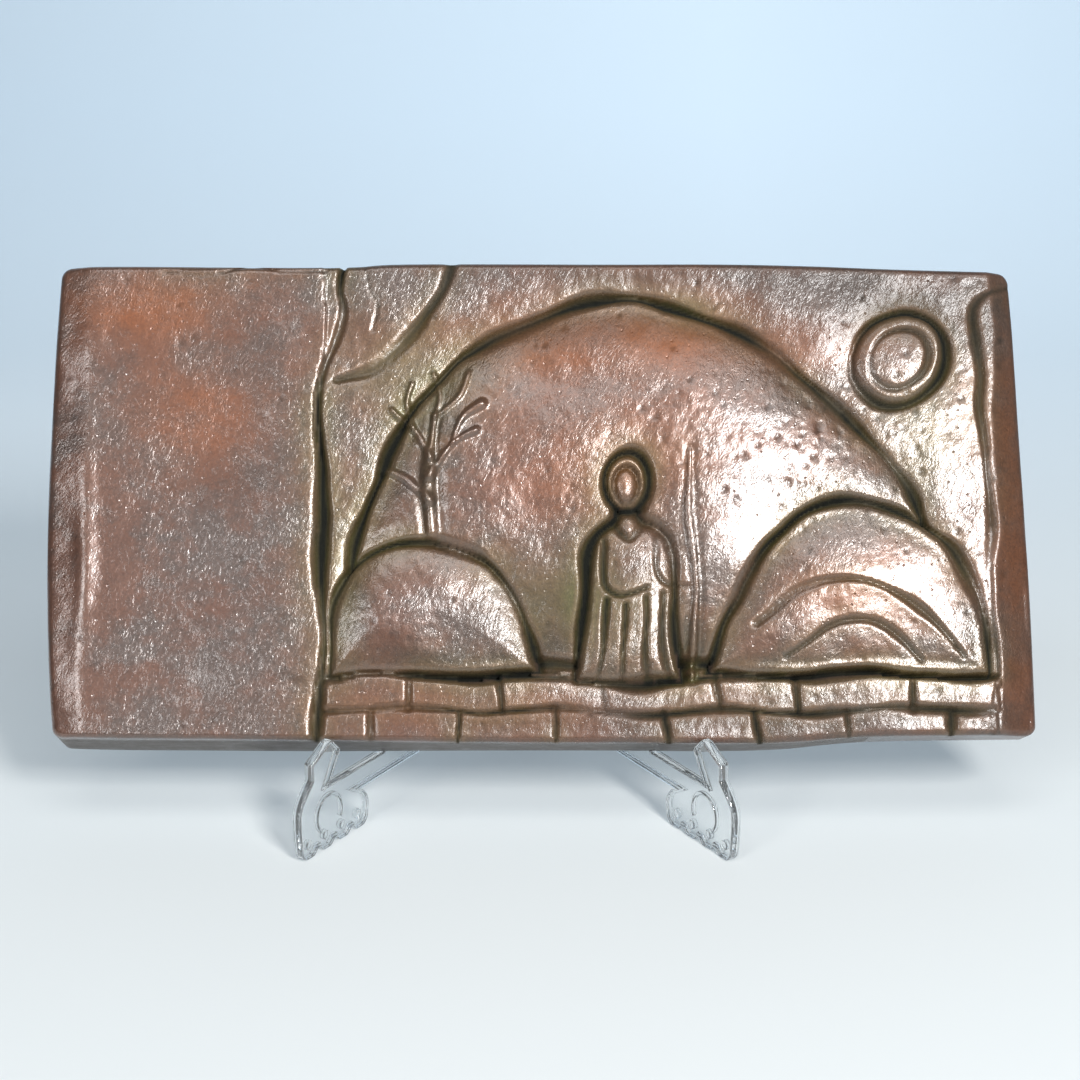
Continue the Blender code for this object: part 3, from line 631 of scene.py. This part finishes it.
def slab_face(grid, settings):
    """Places across and up the slab and heights over its back for grid points, and how dark,
    olive, warm and rubbed bright each is: dark from channel patina, pits and painted shade, rubbed
    bright from wear and a painted highlight."""
    field_end = FIELD_END / SHEET[0] + 0.5
    across = stations(settings.columns, SLAB_LENGTH, EDGE_ROUND, field_end, FIELD_COARSENESS)
    up = stations(settings.rows, SLAB_HEIGHT, EDGE_ROUND)
    column = np.rint((grid[:, 0] + 1) / 2 * settings.columns).astype(int)
    row = np.rint((grid[:, 1] + 1) / 2 * settings.rows).astype(int)
    a, b = across[column], up[row]
    u, v = (a - 0.5) * SHEET[0], (b - 0.5) * SHEET[1]
    for _ in range(2):
        left, right = edge_at(LEFT_EDGE, v), edge_at(RIGHT_EDGE, v)
        low, high = edge_at(BOTTOM_EDGE, u), edge_at(TOP_EDGE, u)
        u, v = left + (right - left) * a, low + (high - low) * b
    x, z = u / SHEET[0] * SLAB_LENGTH, v / SHEET[1] * SLAB_HEIGHT
    from_side = np.minimum(a, 1 - a) * SLAB_LENGTH
    from_end = np.minimum(b, 1 - b) * SLAB_HEIGHT
    inset = CORNER_ROUND - np.minimum(from_side, CORNER_ROUND)
    inset_up = CORNER_ROUND - np.minimum(from_end, CORNER_ROUND)
    reach = np.hypot(inset, inset_up)
    pull = np.where(reach > CORNER_ROUND, 1 - CORNER_ROUND / np.maximum(reach, 1e-9), 0)
    x -= np.sign(a - 0.5) * inset * pull
    z -= np.sign(b - 0.5) * inset_up * pull
    from_edge = np.minimum(np.minimum(from_side, from_end), EDGE_ROUND)
    from_arc = CORNER_ROUND - np.minimum(reach, CORNER_ROUND)
    corner = (inset > 0) & (inset_up > 0)
    from_edge = np.where(corner, np.minimum(from_edge, from_arc), from_edge)
    fall = EDGE_ROUND - np.sqrt(EDGE_ROUND ** 2 - (EDGE_ROUND - from_edge) ** 2)
    relief = carve(u, v)
    marks = casting_marks(u, v)
    skin = casting_grain(u, v) * settings.grain + marks * MM
    proud = SLAB_THICKNESS + relief.height * MM - fall
    proud += skin * np.clip(from_edge / SKIN_REACH, 0, 1)
    heights = np.zeros((settings.columns + 1, settings.rows + 1))
    heights[column, row] = proud
    # Crests are lightened: wear, and partly a painted highlight
    worn_sheen = np.clip((heights - blurred(heights, WEAR_SHEEN_REACH)) / WEAR_SHEEN_HEIGHT, 0, 1)[column, row]
    warm = np.clip(soft_swells(u, v, WARM_PATCHES), 0, 1)
    olive = np.clip(relief.halo + soft_swells(u, v, OLIVE_PATCHES), 0, 1)
    # Pits hold dark patina; the dull patches add painted shade
    dull = PIT_DARKNESS * np.clip(-marks, 0, 1) + soft_swells(u, v, DULL_SHADE_PATCHES)
    dark = np.clip(relief.depth + dull, 0, 1)
    patina = np.column_stack([dark, olive, warm, worn_sheen])
    return x, z, proud, patina


def slab_placement():
    """The matrix that leans the slab on the ledges: x right, y into the slab's face, z up it."""
    back_edge = Vector((0, slab_back_place(), LEDGE_HEIGHT + REST_GAP))
    return Matrix.Translation(back_edge) @ Matrix.Rotation(-SLAB_LEAN, 4, "X")


def slab_back_place():
    """How far back the slab's lower back edge rests, on the bars behind the hooks."""
    hook_back = HOOK_FOOT_DEPTH * math.cos(LEAF_TURN)
    corner = LEAF_THICKNESS / 2 * math.sin(LEAF_TURN)
    return leaf_front() + hook_back + corner + HOOK_GAP + SLAB_THICKNESS / math.cos(SLAB_LEAN)


def leaf_front():
    """The front of the leaves, placed so that the easel is centred front to back."""
    return -leaf_length() * math.cos(LEAF_TURN) / 2


def crossing_place():
    """Where along a leaf the two leaves cross."""
    return LEAF_SPREAD / 2 / math.sin(LEAF_TURN)


def leaf_length():
    return crossing_place() + REAR_FOOT_GAP + REAR_FOOT_LENGTH


def slant_lower_wall(bm):
    """Draws the lower edge of the face up, so that the wall under it slants out to the back."""
    places = np.array([v.co for v in bm.verts])
    near = np.clip(1 - places[:, 2] / SLANT_REACH, 0, 1)
    forward = np.clip(-places[:, 1] / (SLAB_THICKNESS - EDGE_ROUND), 0, 1)
    rises = edge_at(LOWER_SLANT, places[:, 0] / MM) * MM * near * forward
    for vertex, rise in zip(bm.verts, rises):
        vertex.co.z += rise


def build_slab(settings):
    """The slab: a graded grid carved by the relief, with walls drawn back from its border."""
    bm = bmesh.new()
    bmesh.ops.create_grid(bm, x_segments=settings.columns, y_segments=settings.rows, size=1.0)
    grid = np.array([v.co[:2] for v in bm.verts])
    x, z, proud, patina = slab_face(grid, settings)
    layer = bm.verts.layers.float_color.new("patina")
    wall = bm.verts.layers.float.new("wall")
    for vertex, place, shades in zip(bm.verts, zip(x, -proud, z + SLAB_HEIGHT / 2), patina):
        vertex.co = place
        vertex[layer] = shades
    ring = [e for e in bm.edges if e.is_boundary]
    for step in range(WALL_RINGS, 0, -1):
        drawn = bmesh.ops.extrude_edge_only(bm, edges=ring)["geom"]
        ring = [e for e in only(BMEdge, drawn) if e.is_boundary]
        for vertex in only(BMVert, drawn):
            vertex.co.y *= (step - 1) / step
            vertex[layer] = WALL_PATINA
            vertex[wall] = 1.0 if vertex.co.z < FILED_HEIGHT else FILED_SHARE
    slant_lower_wall(bm)
    rim = bmesh.ops.contextual_create(bm, geom=ring)["faces"]
    bmesh.ops.inset_region(bm, faces=rim, thickness=BACK_CHAMFER, use_even_offset=True)
    for vertex in rim[0].verts:
        vertex[wall] = FILED_SHARE
    bmesh.ops.recalc_face_normals(bm, faces=bm.faces[:])
    for face in bm.faces:
        face.smooth = len(face.verts) == 4
    return finished(bm, "bronze_slab", slab_placement())


def arc(centre, radius, start, end, steps):
    """Points on an arc, with its angles in degrees."""
    turns = np.radians(np.linspace(start, end, steps + 1))
    return [(centre[0] + radius * math.cos(t), centre[1] + radius * math.sin(t)) for t in turns]


def foot_lobes(start, length, count):
    """The scalloped underside of a foot: round lobes, each with a flat spot on the shelf."""
    step = (length - 2 * LOBE_RADIUS) / max(count - 1, 1)
    points = []
    for i in range(count):
        centre = (start + LOBE_RADIUS + i * step, LOBE_RADIUS - LOBE_FLATTENING)
        begin = 180 if i == 0 else 215
        end = 360 if i == count - 1 else 325
        points += [(s, max(z, 0.0)) for s, z in arc(centre, LOBE_RADIUS, begin, end, 13)]
    return points


def bulge(start, end, rise, steps=8):
    """Points between two ends on a round line that bulges to the right of the way there."""
    way = Vector(end) - Vector(start)
    out = Vector((way.y, -way.x)).normalized() * rise
    shares = [(i + 1) / (steps + 1) for i in range(steps)]
    middle = [Vector(start) + way * t + out * 4 * t * (1 - t) for t in shares]
    return [tuple(p) for p in middle] + [tuple(end)]


def slot_points(middle, half, mouth, depth):
    """A halving slot in an edge of the bar, in order of rising place along the leaf."""
    return [(middle - half, mouth), (middle - half, depth),
            (middle + half, depth), (middle + half, mouth)]


def leaf_outline(slot_from_top):
    """The leaf's side outline, anticlockwise from its front foot, as (along, up) points."""
    bar_low = LEDGE_HEIGHT - BAR_DEPTH
    bar_mid = LEDGE_HEIGHT - BAR_DEPTH / 2
    slope = math.tan(SLAB_LEAN) / math.cos(LEAF_TURN)
    slab_back = (slab_back_place() - leaf_front() + REST_GAP) / math.cos(LEAF_TURN)
    upright_front = slab_back + LEAF_THICKNESS / 2 * math.tan(LEAF_TURN)
    upright_rise = UPRIGHT_HEIGHT - UPRIGHT_TIP / 2 - LEDGE_HEIGHT
    upright_top = upright_front + upright_rise * slope
    cross, end = crossing_place(), leaf_length()
    crossing = 2 * LEAF_TURN
    slot_half = LEAF_THICKNESS * (1 + abs(math.cos(crossing))) / math.sin(crossing) / 2
    slot_half += HALVING_GAP
    points = foot_lobes(0, FOOT_LENGTH, FOOT_LOBES)
    back_end = (FOOT_LENGTH - FOOT_BACK_BULGE, bar_low)
    points += bulge(points[-1], back_end, FOOT_BACK_BULGE / 2)
    if not slot_from_top:
        points += slot_points(cross, slot_half, bar_low, bar_mid + HALVING_GAP)
    points += [(end - REAR_FOOT_LENGTH, bar_low)]
    points += foot_lobes(end - REAR_FOOT_LENGTH, REAR_FOOT_LENGTH, 1)
    points += arc((end - BEND_RADIUS, LEDGE_HEIGHT - BEND_RADIUS), BEND_RADIUS, 0, 90, 7)
    if slot_from_top:
        points += slot_points(cross, slot_half, LEDGE_HEIGHT, bar_mid)[::-1]
    points += [(upright_front + UPRIGHT_FOOT, LEDGE_HEIGHT)]
    tip = (upright_top + UPRIGHT_TIP / 2, UPRIGHT_HEIGHT - UPRIGHT_TIP / 2)
    points += arc(tip, UPRIGHT_TIP / 2, -20, 180, 12)
    shoulder = HOOK_FOOT_DEPTH + (HOOK_SHOULDER - LEDGE_HEIGHT) * slope
    points += [(upright_front, LEDGE_HEIGHT), (HOOK_FOOT_DEPTH, LEDGE_HEIGHT),
               (shoulder, HOOK_SHOULDER), (HOOK_TIP_DEPTH + HOOK_TIP_WIDTH, HOOK_HEIGHT),
               (HOOK_TIP_DEPTH, HOOK_HEIGHT), (NECK_DEPTH, HOOK_SHOULDER),
               (NECK_DEPTH, NECK_HEIGHT)]
    belly = [points[-1], (0.0, BELLY_HEIGHT), points[0]]
    points += [tuple(p) for p in smooth_line(belly, steps=8)[1:-1]]
    return points


def leaf_placement(side):
    """The matrix that stands a leaf up and turns it: x along the leaf, y up, z through it."""
    place = Vector((EASEL_OFFSET + side * LEAF_SPREAD / 2, leaf_front(), 0))
    turn = Euler((math.pi / 2, 0, math.pi / 2 + side * LEAF_TURN))
    return Matrix.Translation(place) @ turn.to_matrix().to_4x4()


def rimmed_plate(outline, settings):
    """A plate of the outline whose two sides step down inside a rim, with a rounded edge."""
    half = LEAF_THICKNESS / 2
    bm = bmesh.new()
    plate = bm.faces.new([bm.verts.new((s, z, -half)) for s, z in outline])
    far = bmesh.ops.extrude_face_region(bm, geom=[plate])["geom"]
    for vertex in only(BMVert, far):
        vertex.co.z = half
    bmesh.ops.recalc_face_normals(bm, faces=bm.faces[:])
    rim = [e for e in bm.edges if abs(e.verts[0].co.z - e.verts[1].co.z) < half]
    for face in [f for f in bm.faces if len(f.verts) > 4]:
        for _ in range(RIM_STEPS):
            bmesh.ops.inset_region(bm, faces=[face], thickness=settings.rim_width,
                                   use_even_offset=True)
            bmesh.ops.inset_region(bm, faces=[face], thickness=RIM_SLOPE, depth=-settings.rim_step,
                                   use_even_offset=True)
    for face in round_edges(bm, rim, PLATE_EDGE_ROUND, 3):
        face.smooth = True
    return bm


def add_scroll(bm):
    """The raised scroll on both sides of the foot: a ring sector, spun from a small rectangle."""
    inner, outer = SCROLL_RADIUS - SCROLL_WIDTH / 2, SCROLL_RADIUS + SCROLL_WIDTH / 2
    middle = Vector((*SCROLL_CENTRE, 0))
    corners = [(inner, -SCROLL_HALF), (outer, -SCROLL_HALF), (outer, SCROLL_HALF),
               (inner, SCROLL_HALF)]
    start = Matrix.Rotation(SCROLL_START, 3, "Z")
    section = [bm.verts.new(middle + start @ Vector((r, 0, h))) for r, h in corners]
    face = bm.faces.new(section)
    bmesh.ops.spin(bm, geom=[face] + face.edges[:] + section, cent=middle, axis=(0, 0, 1),
                   angle=SCROLL_TURN, steps=SCROLL_STEPS, use_merge=False)


def add_knobs(bm):
    """A round knob on each lobe of the front foot, right through it."""
    step = (FOOT_LENGTH - 2 * LOBE_RADIUS) / (FOOT_LOBES - 1)
    for i in range(FOOT_LOBES):
        place = Matrix.Translation((LOBE_RADIUS + i * step, LOBE_RADIUS, 0))
        bmesh.ops.create_cone(bm, cap_ends=True, segments=KNOB_SIDES, radius1=KNOB_RADIUS,
                              radius2=KNOB_RADIUS, depth=2 * KNOB_HALF, matrix=place)


def build_leaf(name, side, slot_from_top, settings):
    """One clear leaf: a rimmed plate joined with its scroll and knobs."""
    leaf = finished(rimmed_plate(leaf_outline(slot_from_top), settings), name,
                    Matrix.Identity(4))
    trim = bmesh.new()
    add_scroll(trim)
    add_knobs(trim)
    bmesh.ops.recalc_face_normals(trim, faces=trim.faces[:])
    sharp = [e for e in trim.edges if e.calc_face_angle(0) > TRIM_SHARP]
    round_edges(trim, sharp, TRIM_ROUND, 2)
    cutter = finished(trim, name + "_trim", Matrix.Identity(4))
    joined = leaf.modifiers.new("joined", "BOOLEAN")
    joined.operation, joined.object, joined.use_self = "UNION", cutter, True
    graph = bpy.context.evaluated_depsgraph_get()
    mesh = bpy.data.meshes.new_from_object(leaf.evaluated_get(graph))
    leaf.modifiers.clear()
    leaf.data = mesh
    bpy.data.objects.remove(cutter)
    mesh.transform(leaf_placement(side))
    return leaf


def only(kind, geometry):
    """The parts of some bmesh geometry that are of one kind."""
    return [g for g in geometry if isinstance(g, kind)]


def round_edges(bm, edges, radius, segments):
    """Rounds some edges, and gives the faces of the rounding."""
    return bmesh.ops.bevel(bm, geom=edges, offset=radius, offset_type="OFFSET", affect="EDGES",
                           segments=segments, profile=0.5, material=-1)["faces"]


def finished(bm, name, placement):
    """The bmesh as an object at the origin, with its place in its mesh."""
    bmesh.ops.transform(bm, matrix=placement, verts=bm.verts[:])
    mesh = bpy.data.meshes.new(name)
    bm.to_mesh(mesh)
    bm.free()
    piece = bpy.data.objects.new(name, mesh)
    bpy.context.scene.collection.objects.link(piece)
    return piece


def add_node(tree, kind, settings=None, inputs=None, stops=()):
    """Adds a node with its settings, its linked or plain inputs and its colour stops. A node
    among the inputs stands for its first output."""
    made = tree.nodes.new(kind)
    for key, value in (settings or {}).items():
        setattr(made, key, value)
    for key, value in (inputs or {}).items():
        if isinstance(value, bpy.types.Node):
            value = value.outputs[0]
        if isinstance(value, bpy.types.NodeSocket):
            tree.links.new(value, made.inputs[key])
        else:
            made.inputs[key].default_value = value
    for i, (place, colour) in enumerate(stops):
        stop = made.color_ramp.elements[i] if i < 2 else made.color_ramp.elements.new(place)
        stop.position, stop.color = place, colour
    return made


def new_material(name):
    """An empty material, and the call that adds a node to it."""
    material = bpy.data.materials.new(name)
    material.use_nodes = True
    material.node_tree.nodes.clear()
    return material, partial(add_node, material.node_tree)


# A Mix node of colours takes them in its sockets 6 and 7, and gives the mixed one from output 2
COLOURS = {"data_type": "RGBA"}
MIX_LOW, MIX_HIGH, MIX_OUT = 6, 7, 2
SCALED_SUM = {"operation": "MULTIPLY_ADD"}
CLAMPED_SUM = {"operation": "MULTIPLY_ADD", "use_clamp": True}


def cast_bronze(settings):
    """Cast bronze with a chemical red-brown patina under wax: a mottled dull brown that the wax
    gives a broad white sheen, olive and green-black where the patina gathers in the channels, with
    painted shade in dull patches and a painted highlight on rubbed crests."""
    material, add = new_material("cast_bronze_patina")
    place = add("ShaderNodeTexCoord").outputs["Object"]
    shades = add("ShaderNodeAttribute", {"attribute_name": "patina"})
    parts = add("ShaderNodeSeparateColor", inputs={"Color": shades}).outputs
    wall = add("ShaderNodeAttribute", {"attribute_name": "wall"}).outputs["Fac"]
    banded = add("ShaderNodeMapping", inputs={"Vector": place, "Scale": (1, 1.5, 1.5)})
    leaning = add("ShaderNodeMapping", {"vector_type": "TEXTURE"}, {
        "Vector": place, "Rotation": (0, math.radians(-STROKE_LEAN), 0), "Scale": (1.9, 1.9, 1)})
    drawn = add("ShaderNodeMapping", inputs={"Vector": place, "Scale": (0.03, 1, 1)})
    cloud, mottle, speckle, strokes, filing = (
        add("ShaderNodeTexNoise", inputs={
            "Vector": vector, "Scale": 1 / (grain * MM), "Detail": detail,
            "Roughness": roughness, "Distortion": distortion})
        for vector, grain, detail, roughness, distortion in (
            (banded, 34, 3.0, 0.6, 0.0), (place, 7, 4.0, 0.65, 0.0), (place, 0.9, 2.0, 0.6, 0.0),
            (leaning, 1.3, 2.0, 0.55, 1.6), (drawn, 0.5, 2.0, 0.5, 0.0)))
    pores = add("ShaderNodeTexVoronoi", {"feature": "F1"}, {
        "Vector": place, "Scale": 1 / (3.2 * MM), "Randomness": 1.0})
    light, pore, reach, rough = (
        add("ShaderNodeMapRange", inputs={
            "Value": value, "From Min": low, "From Max": high, "To Min": start, "To Max": end})
        for value, low, high, start, end in (
            (speckle, 0.3, 0.7, 0.78, 1.18), (pores, 0.0, 0.16, -0.7, 0.0),
            (cloud, 0.38, 0.62, 0.98, 0.42), (mottle, 0.3, 0.7, 0.34, 0.5)))
    blend = add("ShaderNodeMath", SCALED_SUM, {0: mottle, 1: 0.5, 2: cloud})
    share = add("ShaderNodeValToRGB", inputs={"Fac": blend},
                stops=[(0.64, (0, 0, 0, 1)), (0.84, (1, 1, 1, 1))])
    warmth, greening = (
        add("ShaderNodeMath", {"operation": "MULTIPLY", "use_clamp": True}, {
            0: parts[tone], 1: blend})
        for tone in ("Blue", "Green"))
    # Crests take the lighter bronze: wear, and partly a painted highlight
    wear_sheen = add("ShaderNodeMath", {"operation": "MULTIPLY"}, {
        0: shades.outputs["Alpha"], 1: WEAR_SHEEN_SHARE})
    # The black share also carries the painted shade of the dull patches
    patina = settings.grey
    for cover, shade in ((share, settings.brown), (warmth, settings.warm),
                         (greening, settings.olive), (parts["Red"], settings.black),
                         (wear_sheen, settings.worn_sheen)):
        mixed = add("ShaderNodeMix", COLOURS, {0: cover, MIX_LOW: patina, MIX_HIGH: shade})
        patina = mixed.outputs[MIX_OUT]
    tinted = add("ShaderNodeHueSaturation", inputs={"Color": patina, "Value": light})
    colour = add("ShaderNodeMix", COLOURS, {
        0: wall, MIX_LOW: tinted.outputs["Color"], MIX_HIGH: settings.filed})
    leather = add("ShaderNodeMath", SCALED_SUM, {0: speckle, 1: 0.28, 2: strokes})
    skin = add("ShaderNodeMath", SCALED_SUM, {0: leather, 1: reach, 2: pore})
    relief = add("ShaderNodeMix", {"data_type": "FLOAT"}, {0: wall, 2: skin, 3: filing})
    bump = add("ShaderNodeBump", inputs={
        "Height": relief, "Strength": 0.5, "Distance": 0.35 * MM})
    wax = 1.0
    for bare, loss in ((parts["Red"], -1.5), (warmth, -0.8), (parts["Green"], -0.45),
                       (wall, -1.0)):
        wax = add("ShaderNodeMath", CLAMPED_SUM, {0: bare, 1: loss, 2: wax})
    dull = add("ShaderNodeMath", CLAMPED_SUM, {0: parts["Red"], 1: 0.6, 2: rough})
    shader = add("ShaderNodeBsdfPrincipled", inputs={
        "Base Color": colour.outputs[MIX_OUT], "Metallic": 0.5, "Roughness": dull,
        "Coat Weight": wax, "Coat Roughness": 0.22, "Coat IOR": 1.7, "Specular IOR Level": 0.8,
        "Normal": bump, "Coat Normal": bump})
    add("ShaderNodeOutputMaterial", inputs={"Surface": shader})
    return material


def clear_polystyrene(settings):
    """Clear moulded polystyrene: water-clear, with bright glints and grey lines at its edges."""
    material, add = new_material("clear_polystyrene")
    shader = add("ShaderNodeBsdfPrincipled", inputs={
        "Base Color": settings.tint, "Roughness": 0.03, "IOR": 1.59, "Transmission Weight": 0.94})
    add("ShaderNodeOutputMaterial", inputs={"Surface": shader})
    return material


def paper_sweep(settings):
    """Matt background paper, pale and bluer further up, that emits a painted glow standing for
    light let through: most where it rises and in its middle, and a little on the floor."""
    material, add = new_material("matt_paper")
    place = add("ShaderNodeTexCoord").outputs["Object"]
    axes = add("ShaderNodeSeparateXYZ", inputs={"Vector": place}).outputs
    far = add("ShaderNodeMapRange", inputs={
        "Value": axes["Y"], "From Min": FAR_START, "From Max": FAR_END})
    colour = add("ShaderNodeMix", COLOURS, {
        0: far, MIX_LOW: settings.paper, MIX_HIGH: settings.paper_far})
    offset = add("ShaderNodeMath", {"operation": "SUBTRACT"}, {0: axes["X"], 1: GLOW_MIDDLE})
    aside = add("ShaderNodeMath", {"operation": "ABSOLUTE"}, {0: offset})
    glow = add("ShaderNodeMapRange", inputs={
        "Value": aside, "From Min": 0.0, "From Max": GLOW_REACH, "To Min": settings.glow,
        "To Max": settings.glow * GLOW_SIDE_SHARE})
    near = add("ShaderNodeMapRange", inputs={
        "Value": far, "To Min": settings.floor_glow, "To Max": 0.0})
    # Painted glow: the paper emits light, most up the sweep in its middle, less to the sides, and
    # a little on the floor in front to lift the shade under the slab
    through = add("ShaderNodeMath", SCALED_SUM, {0: glow, 1: far, 2: near})
    shader = add("ShaderNodeBsdfPrincipled", inputs={
        "Base Color": colour.outputs[MIX_OUT], "Roughness": 0.9,
        "Emission Color": settings.paper_far, "Emission Strength": through})
    add("ShaderNodeOutputMaterial", inputs={"Surface": shader})
    return material


class RELIEF_OT_slab(bpy.types.Operator):
    """Build the cast bronze slab"""
    bl_idname = "relief.slab"
    bl_label = "Bronze Slab"

    def execute(self, context):
        settings = context.scene.relief_slab
        slab = build_slab(settings)
        slab.data.materials.append(cast_bronze(settings))
        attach(slab, "root")
        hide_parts("relief_slab")
        return {"FINISHED"}


class RELIEF_OT_easel(bpy.types.Operator):
    """Build the two clear leaves of the easel"""
    bl_idname = "relief.easel"
    bl_label = "Clear Easel"

    def execute(self, context):
        settings = context.scene.relief_easel
        plastic = clear_polystyrene(settings)
        for name, side, node in (("clear_leaf_left", -1, "easel_leaf_left"),
                                 ("clear_leaf_right", 1, "easel_leaf_right")):
            leaf = build_leaf(name, side, side < 0, settings)
            leaf.data.materials.append(plastic)
            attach(leaf, "root")
            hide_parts(node)
        return {"FINISHED"}


SWEEP_WIDTH = 4.0
SWEEP_FRONT = -1.6
SWEEP_BACK = 0.55
SWEEP_BEND = 0.6
SWEEP_BEND_STEPS = 24
SWEEP_HEIGHT = 1.6
# Where the sweep starts to be the far paper and where it is all of that, from front to back
FAR_START, FAR_END = 0.1, 0.85
# Across the sweep, the middle of the paper's painted glow, how far it reaches to both
# sides, and the share of it that is left there, so that the paper darkens towards its sides
GLOW_MIDDLE = 0.12
GLOW_REACH = 0.7
GLOW_SIDE_SHARE = 0.25
AIR_COLOUR = "#DCE9F4"
AIR_STRENGTH = 0.14
LENS = 85.0
# Each softbox: its name, its place, where it looks, its width and height, its power in watts
SOFTBOXES = [("key_softbox", (0.50, -1.12, 0.86), (0, 0, 0.1), (0.32, 0.34), 20.5),
             ("fill_softbox", (-0.66, -1.02, 0.66), (0, 0, 0.1), (0.30, 0.34), 3.6),
             ("front_softbox", (0.0, -0.75, 1.5), (0, -0.3, 0), (1.1, 0.5), 6.5)]
# The middle of the relief stands this far over the middle of the picture
RISE_IN_PICTURE = 0.0129


def build_sweep():
    """A paper sweep: an edge drawn back over the floor, turned up in a bend and drawn upwards."""
    bm = bmesh.new()
    ends = [bm.verts.new((x, SWEEP_FRONT, 0)) for x in (-SWEEP_WIDTH / 2, SWEEP_WIDTH / 2)]
    edge = bm.edges.new(ends)
    back = only(BMVert, bmesh.ops.extrude_edge_only(bm, edges=[edge])["geom"])
    bmesh.ops.translate(bm, verts=back, vec=(0, SWEEP_BACK - SWEEP_FRONT, 0))
    line = [e for e in bm.edges if all(v in back for v in e.verts)]
    bend = bmesh.ops.spin(bm, geom=line + back, cent=(0, SWEEP_BACK, SWEEP_BEND), axis=(1, 0, 0),
                          angle=math.radians(90), steps=SWEEP_BEND_STEPS,
                          use_merge=False)["geom_last"]
    rise = bmesh.ops.extrude_edge_only(bm, edges=only(BMEdge, bend))["geom"]
    bmesh.ops.translate(bm, verts=only(BMVert, rise), vec=(0, 0, SWEEP_HEIGHT))
    bmesh.ops.recalc_face_normals(bm, faces=bm.faces[:])
    for face in bm.faces:
        face.smooth = True
    return finished(bm, "paper_sweep", Matrix.Identity(4))


def add_softbox(name, place, target, size, power):
    """A rectangular area light that looks at a point."""
    light = bpy.data.lights.new(name, "AREA")
    light.shape = "RECTANGLE"
    light.size, light.size_y = size
    light.energy = power
    box = bpy.data.objects.new(name, light)
    box.location = place
    box.rotation_euler = (Vector(target) - Vector(place)).to_track_quat("-Z", "Y").to_euler()
    bpy.context.scene.collection.objects.link(box)


def add_camera(settings, middle):
    """The camera in front of the relief, looking down on it."""
    camera = bpy.data.objects.new("camera", bpy.data.cameras.new("camera"))
    camera.data.lens = LENS
    rise = settings.camera_elevation
    back = Vector((0, -math.cos(rise), math.sin(rise)))
    up = Vector((0, math.sin(rise), math.cos(rise)))
    camera.location = middle - up * RISE_IN_PICTURE + back * settings.camera_distance
    camera.rotation_euler = (-back).to_track_quat("-Z", "Y").to_euler()
    bpy.context.scene.collection.objects.link(camera)
    bpy.context.scene.camera = camera


class RELIEF_OT_stage(bpy.types.Operator):
    """Build the paper sweep, the lights and the camera"""
    bl_idname = "relief.stage"
    bl_label = "Studio"

    def execute(self, context):
        settings = context.scene.relief_stage
        sweep = build_sweep()
        sweep.data.materials.append(paper_sweep(settings))
        middle = slab_placement() @ Vector((0, -SLAB_THICKNESS, SLAB_HEIGHT / 2))
        for softbox in SOFTBOXES:
            add_softbox(*softbox)
        world = bpy.data.worlds.new("studio_air")
        world.use_nodes = True
        air = world.node_tree.nodes["Background"]
        air.inputs["Color"].default_value = linear(AIR_COLOUR)
        air.inputs["Strength"].default_value = AIR_STRENGTH
        context.scene.world = world
        context.scene.view_settings.view_transform = "Standard"
        add_camera(settings, middle)
        return {"FINISHED"}


class RELIEF_PT_panel(bpy.types.Panel):
    """Buttons that build the relief, its easel and the studio"""
    bl_label = "Bronze Relief"
    bl_idname = "RELIEF_PT_panel"
    bl_space_type = "VIEW_3D"
    bl_region_type = "UI"
    bl_category = "Relief"

    def draw(self, context):
        for operator in OPERATORS:
            self.layout.operator(operator.bl_idname)


OPERATORS = (RELIEF_OT_slab, RELIEF_OT_easel, RELIEF_OT_stage)
CLASSES = (SlabSettings, EaselSettings, StageSettings) + OPERATORS + (RELIEF_PT_panel,)
SETTINGS = {"relief_slab": SlabSettings, "relief_easel": EaselSettings,
            "relief_stage": StageSettings}


def register():
    for item in CLASSES:
        bpy.utils.register_class(item)
    for name, group in SETTINGS.items():
        setattr(bpy.types.Scene, name, bpy.props.PointerProperty(type=group))


def unregister():
    for name in SETTINGS:
        delattr(bpy.types.Scene, name)
    for item in reversed(CLASSES):
        bpy.utils.unregister_class(item)


def main():
    register()
    bpy.ops.relief.slab()
    bpy.ops.relief.easel()
    bpy.ops.relief.stage()


if __name__ == "__main__":
    main()
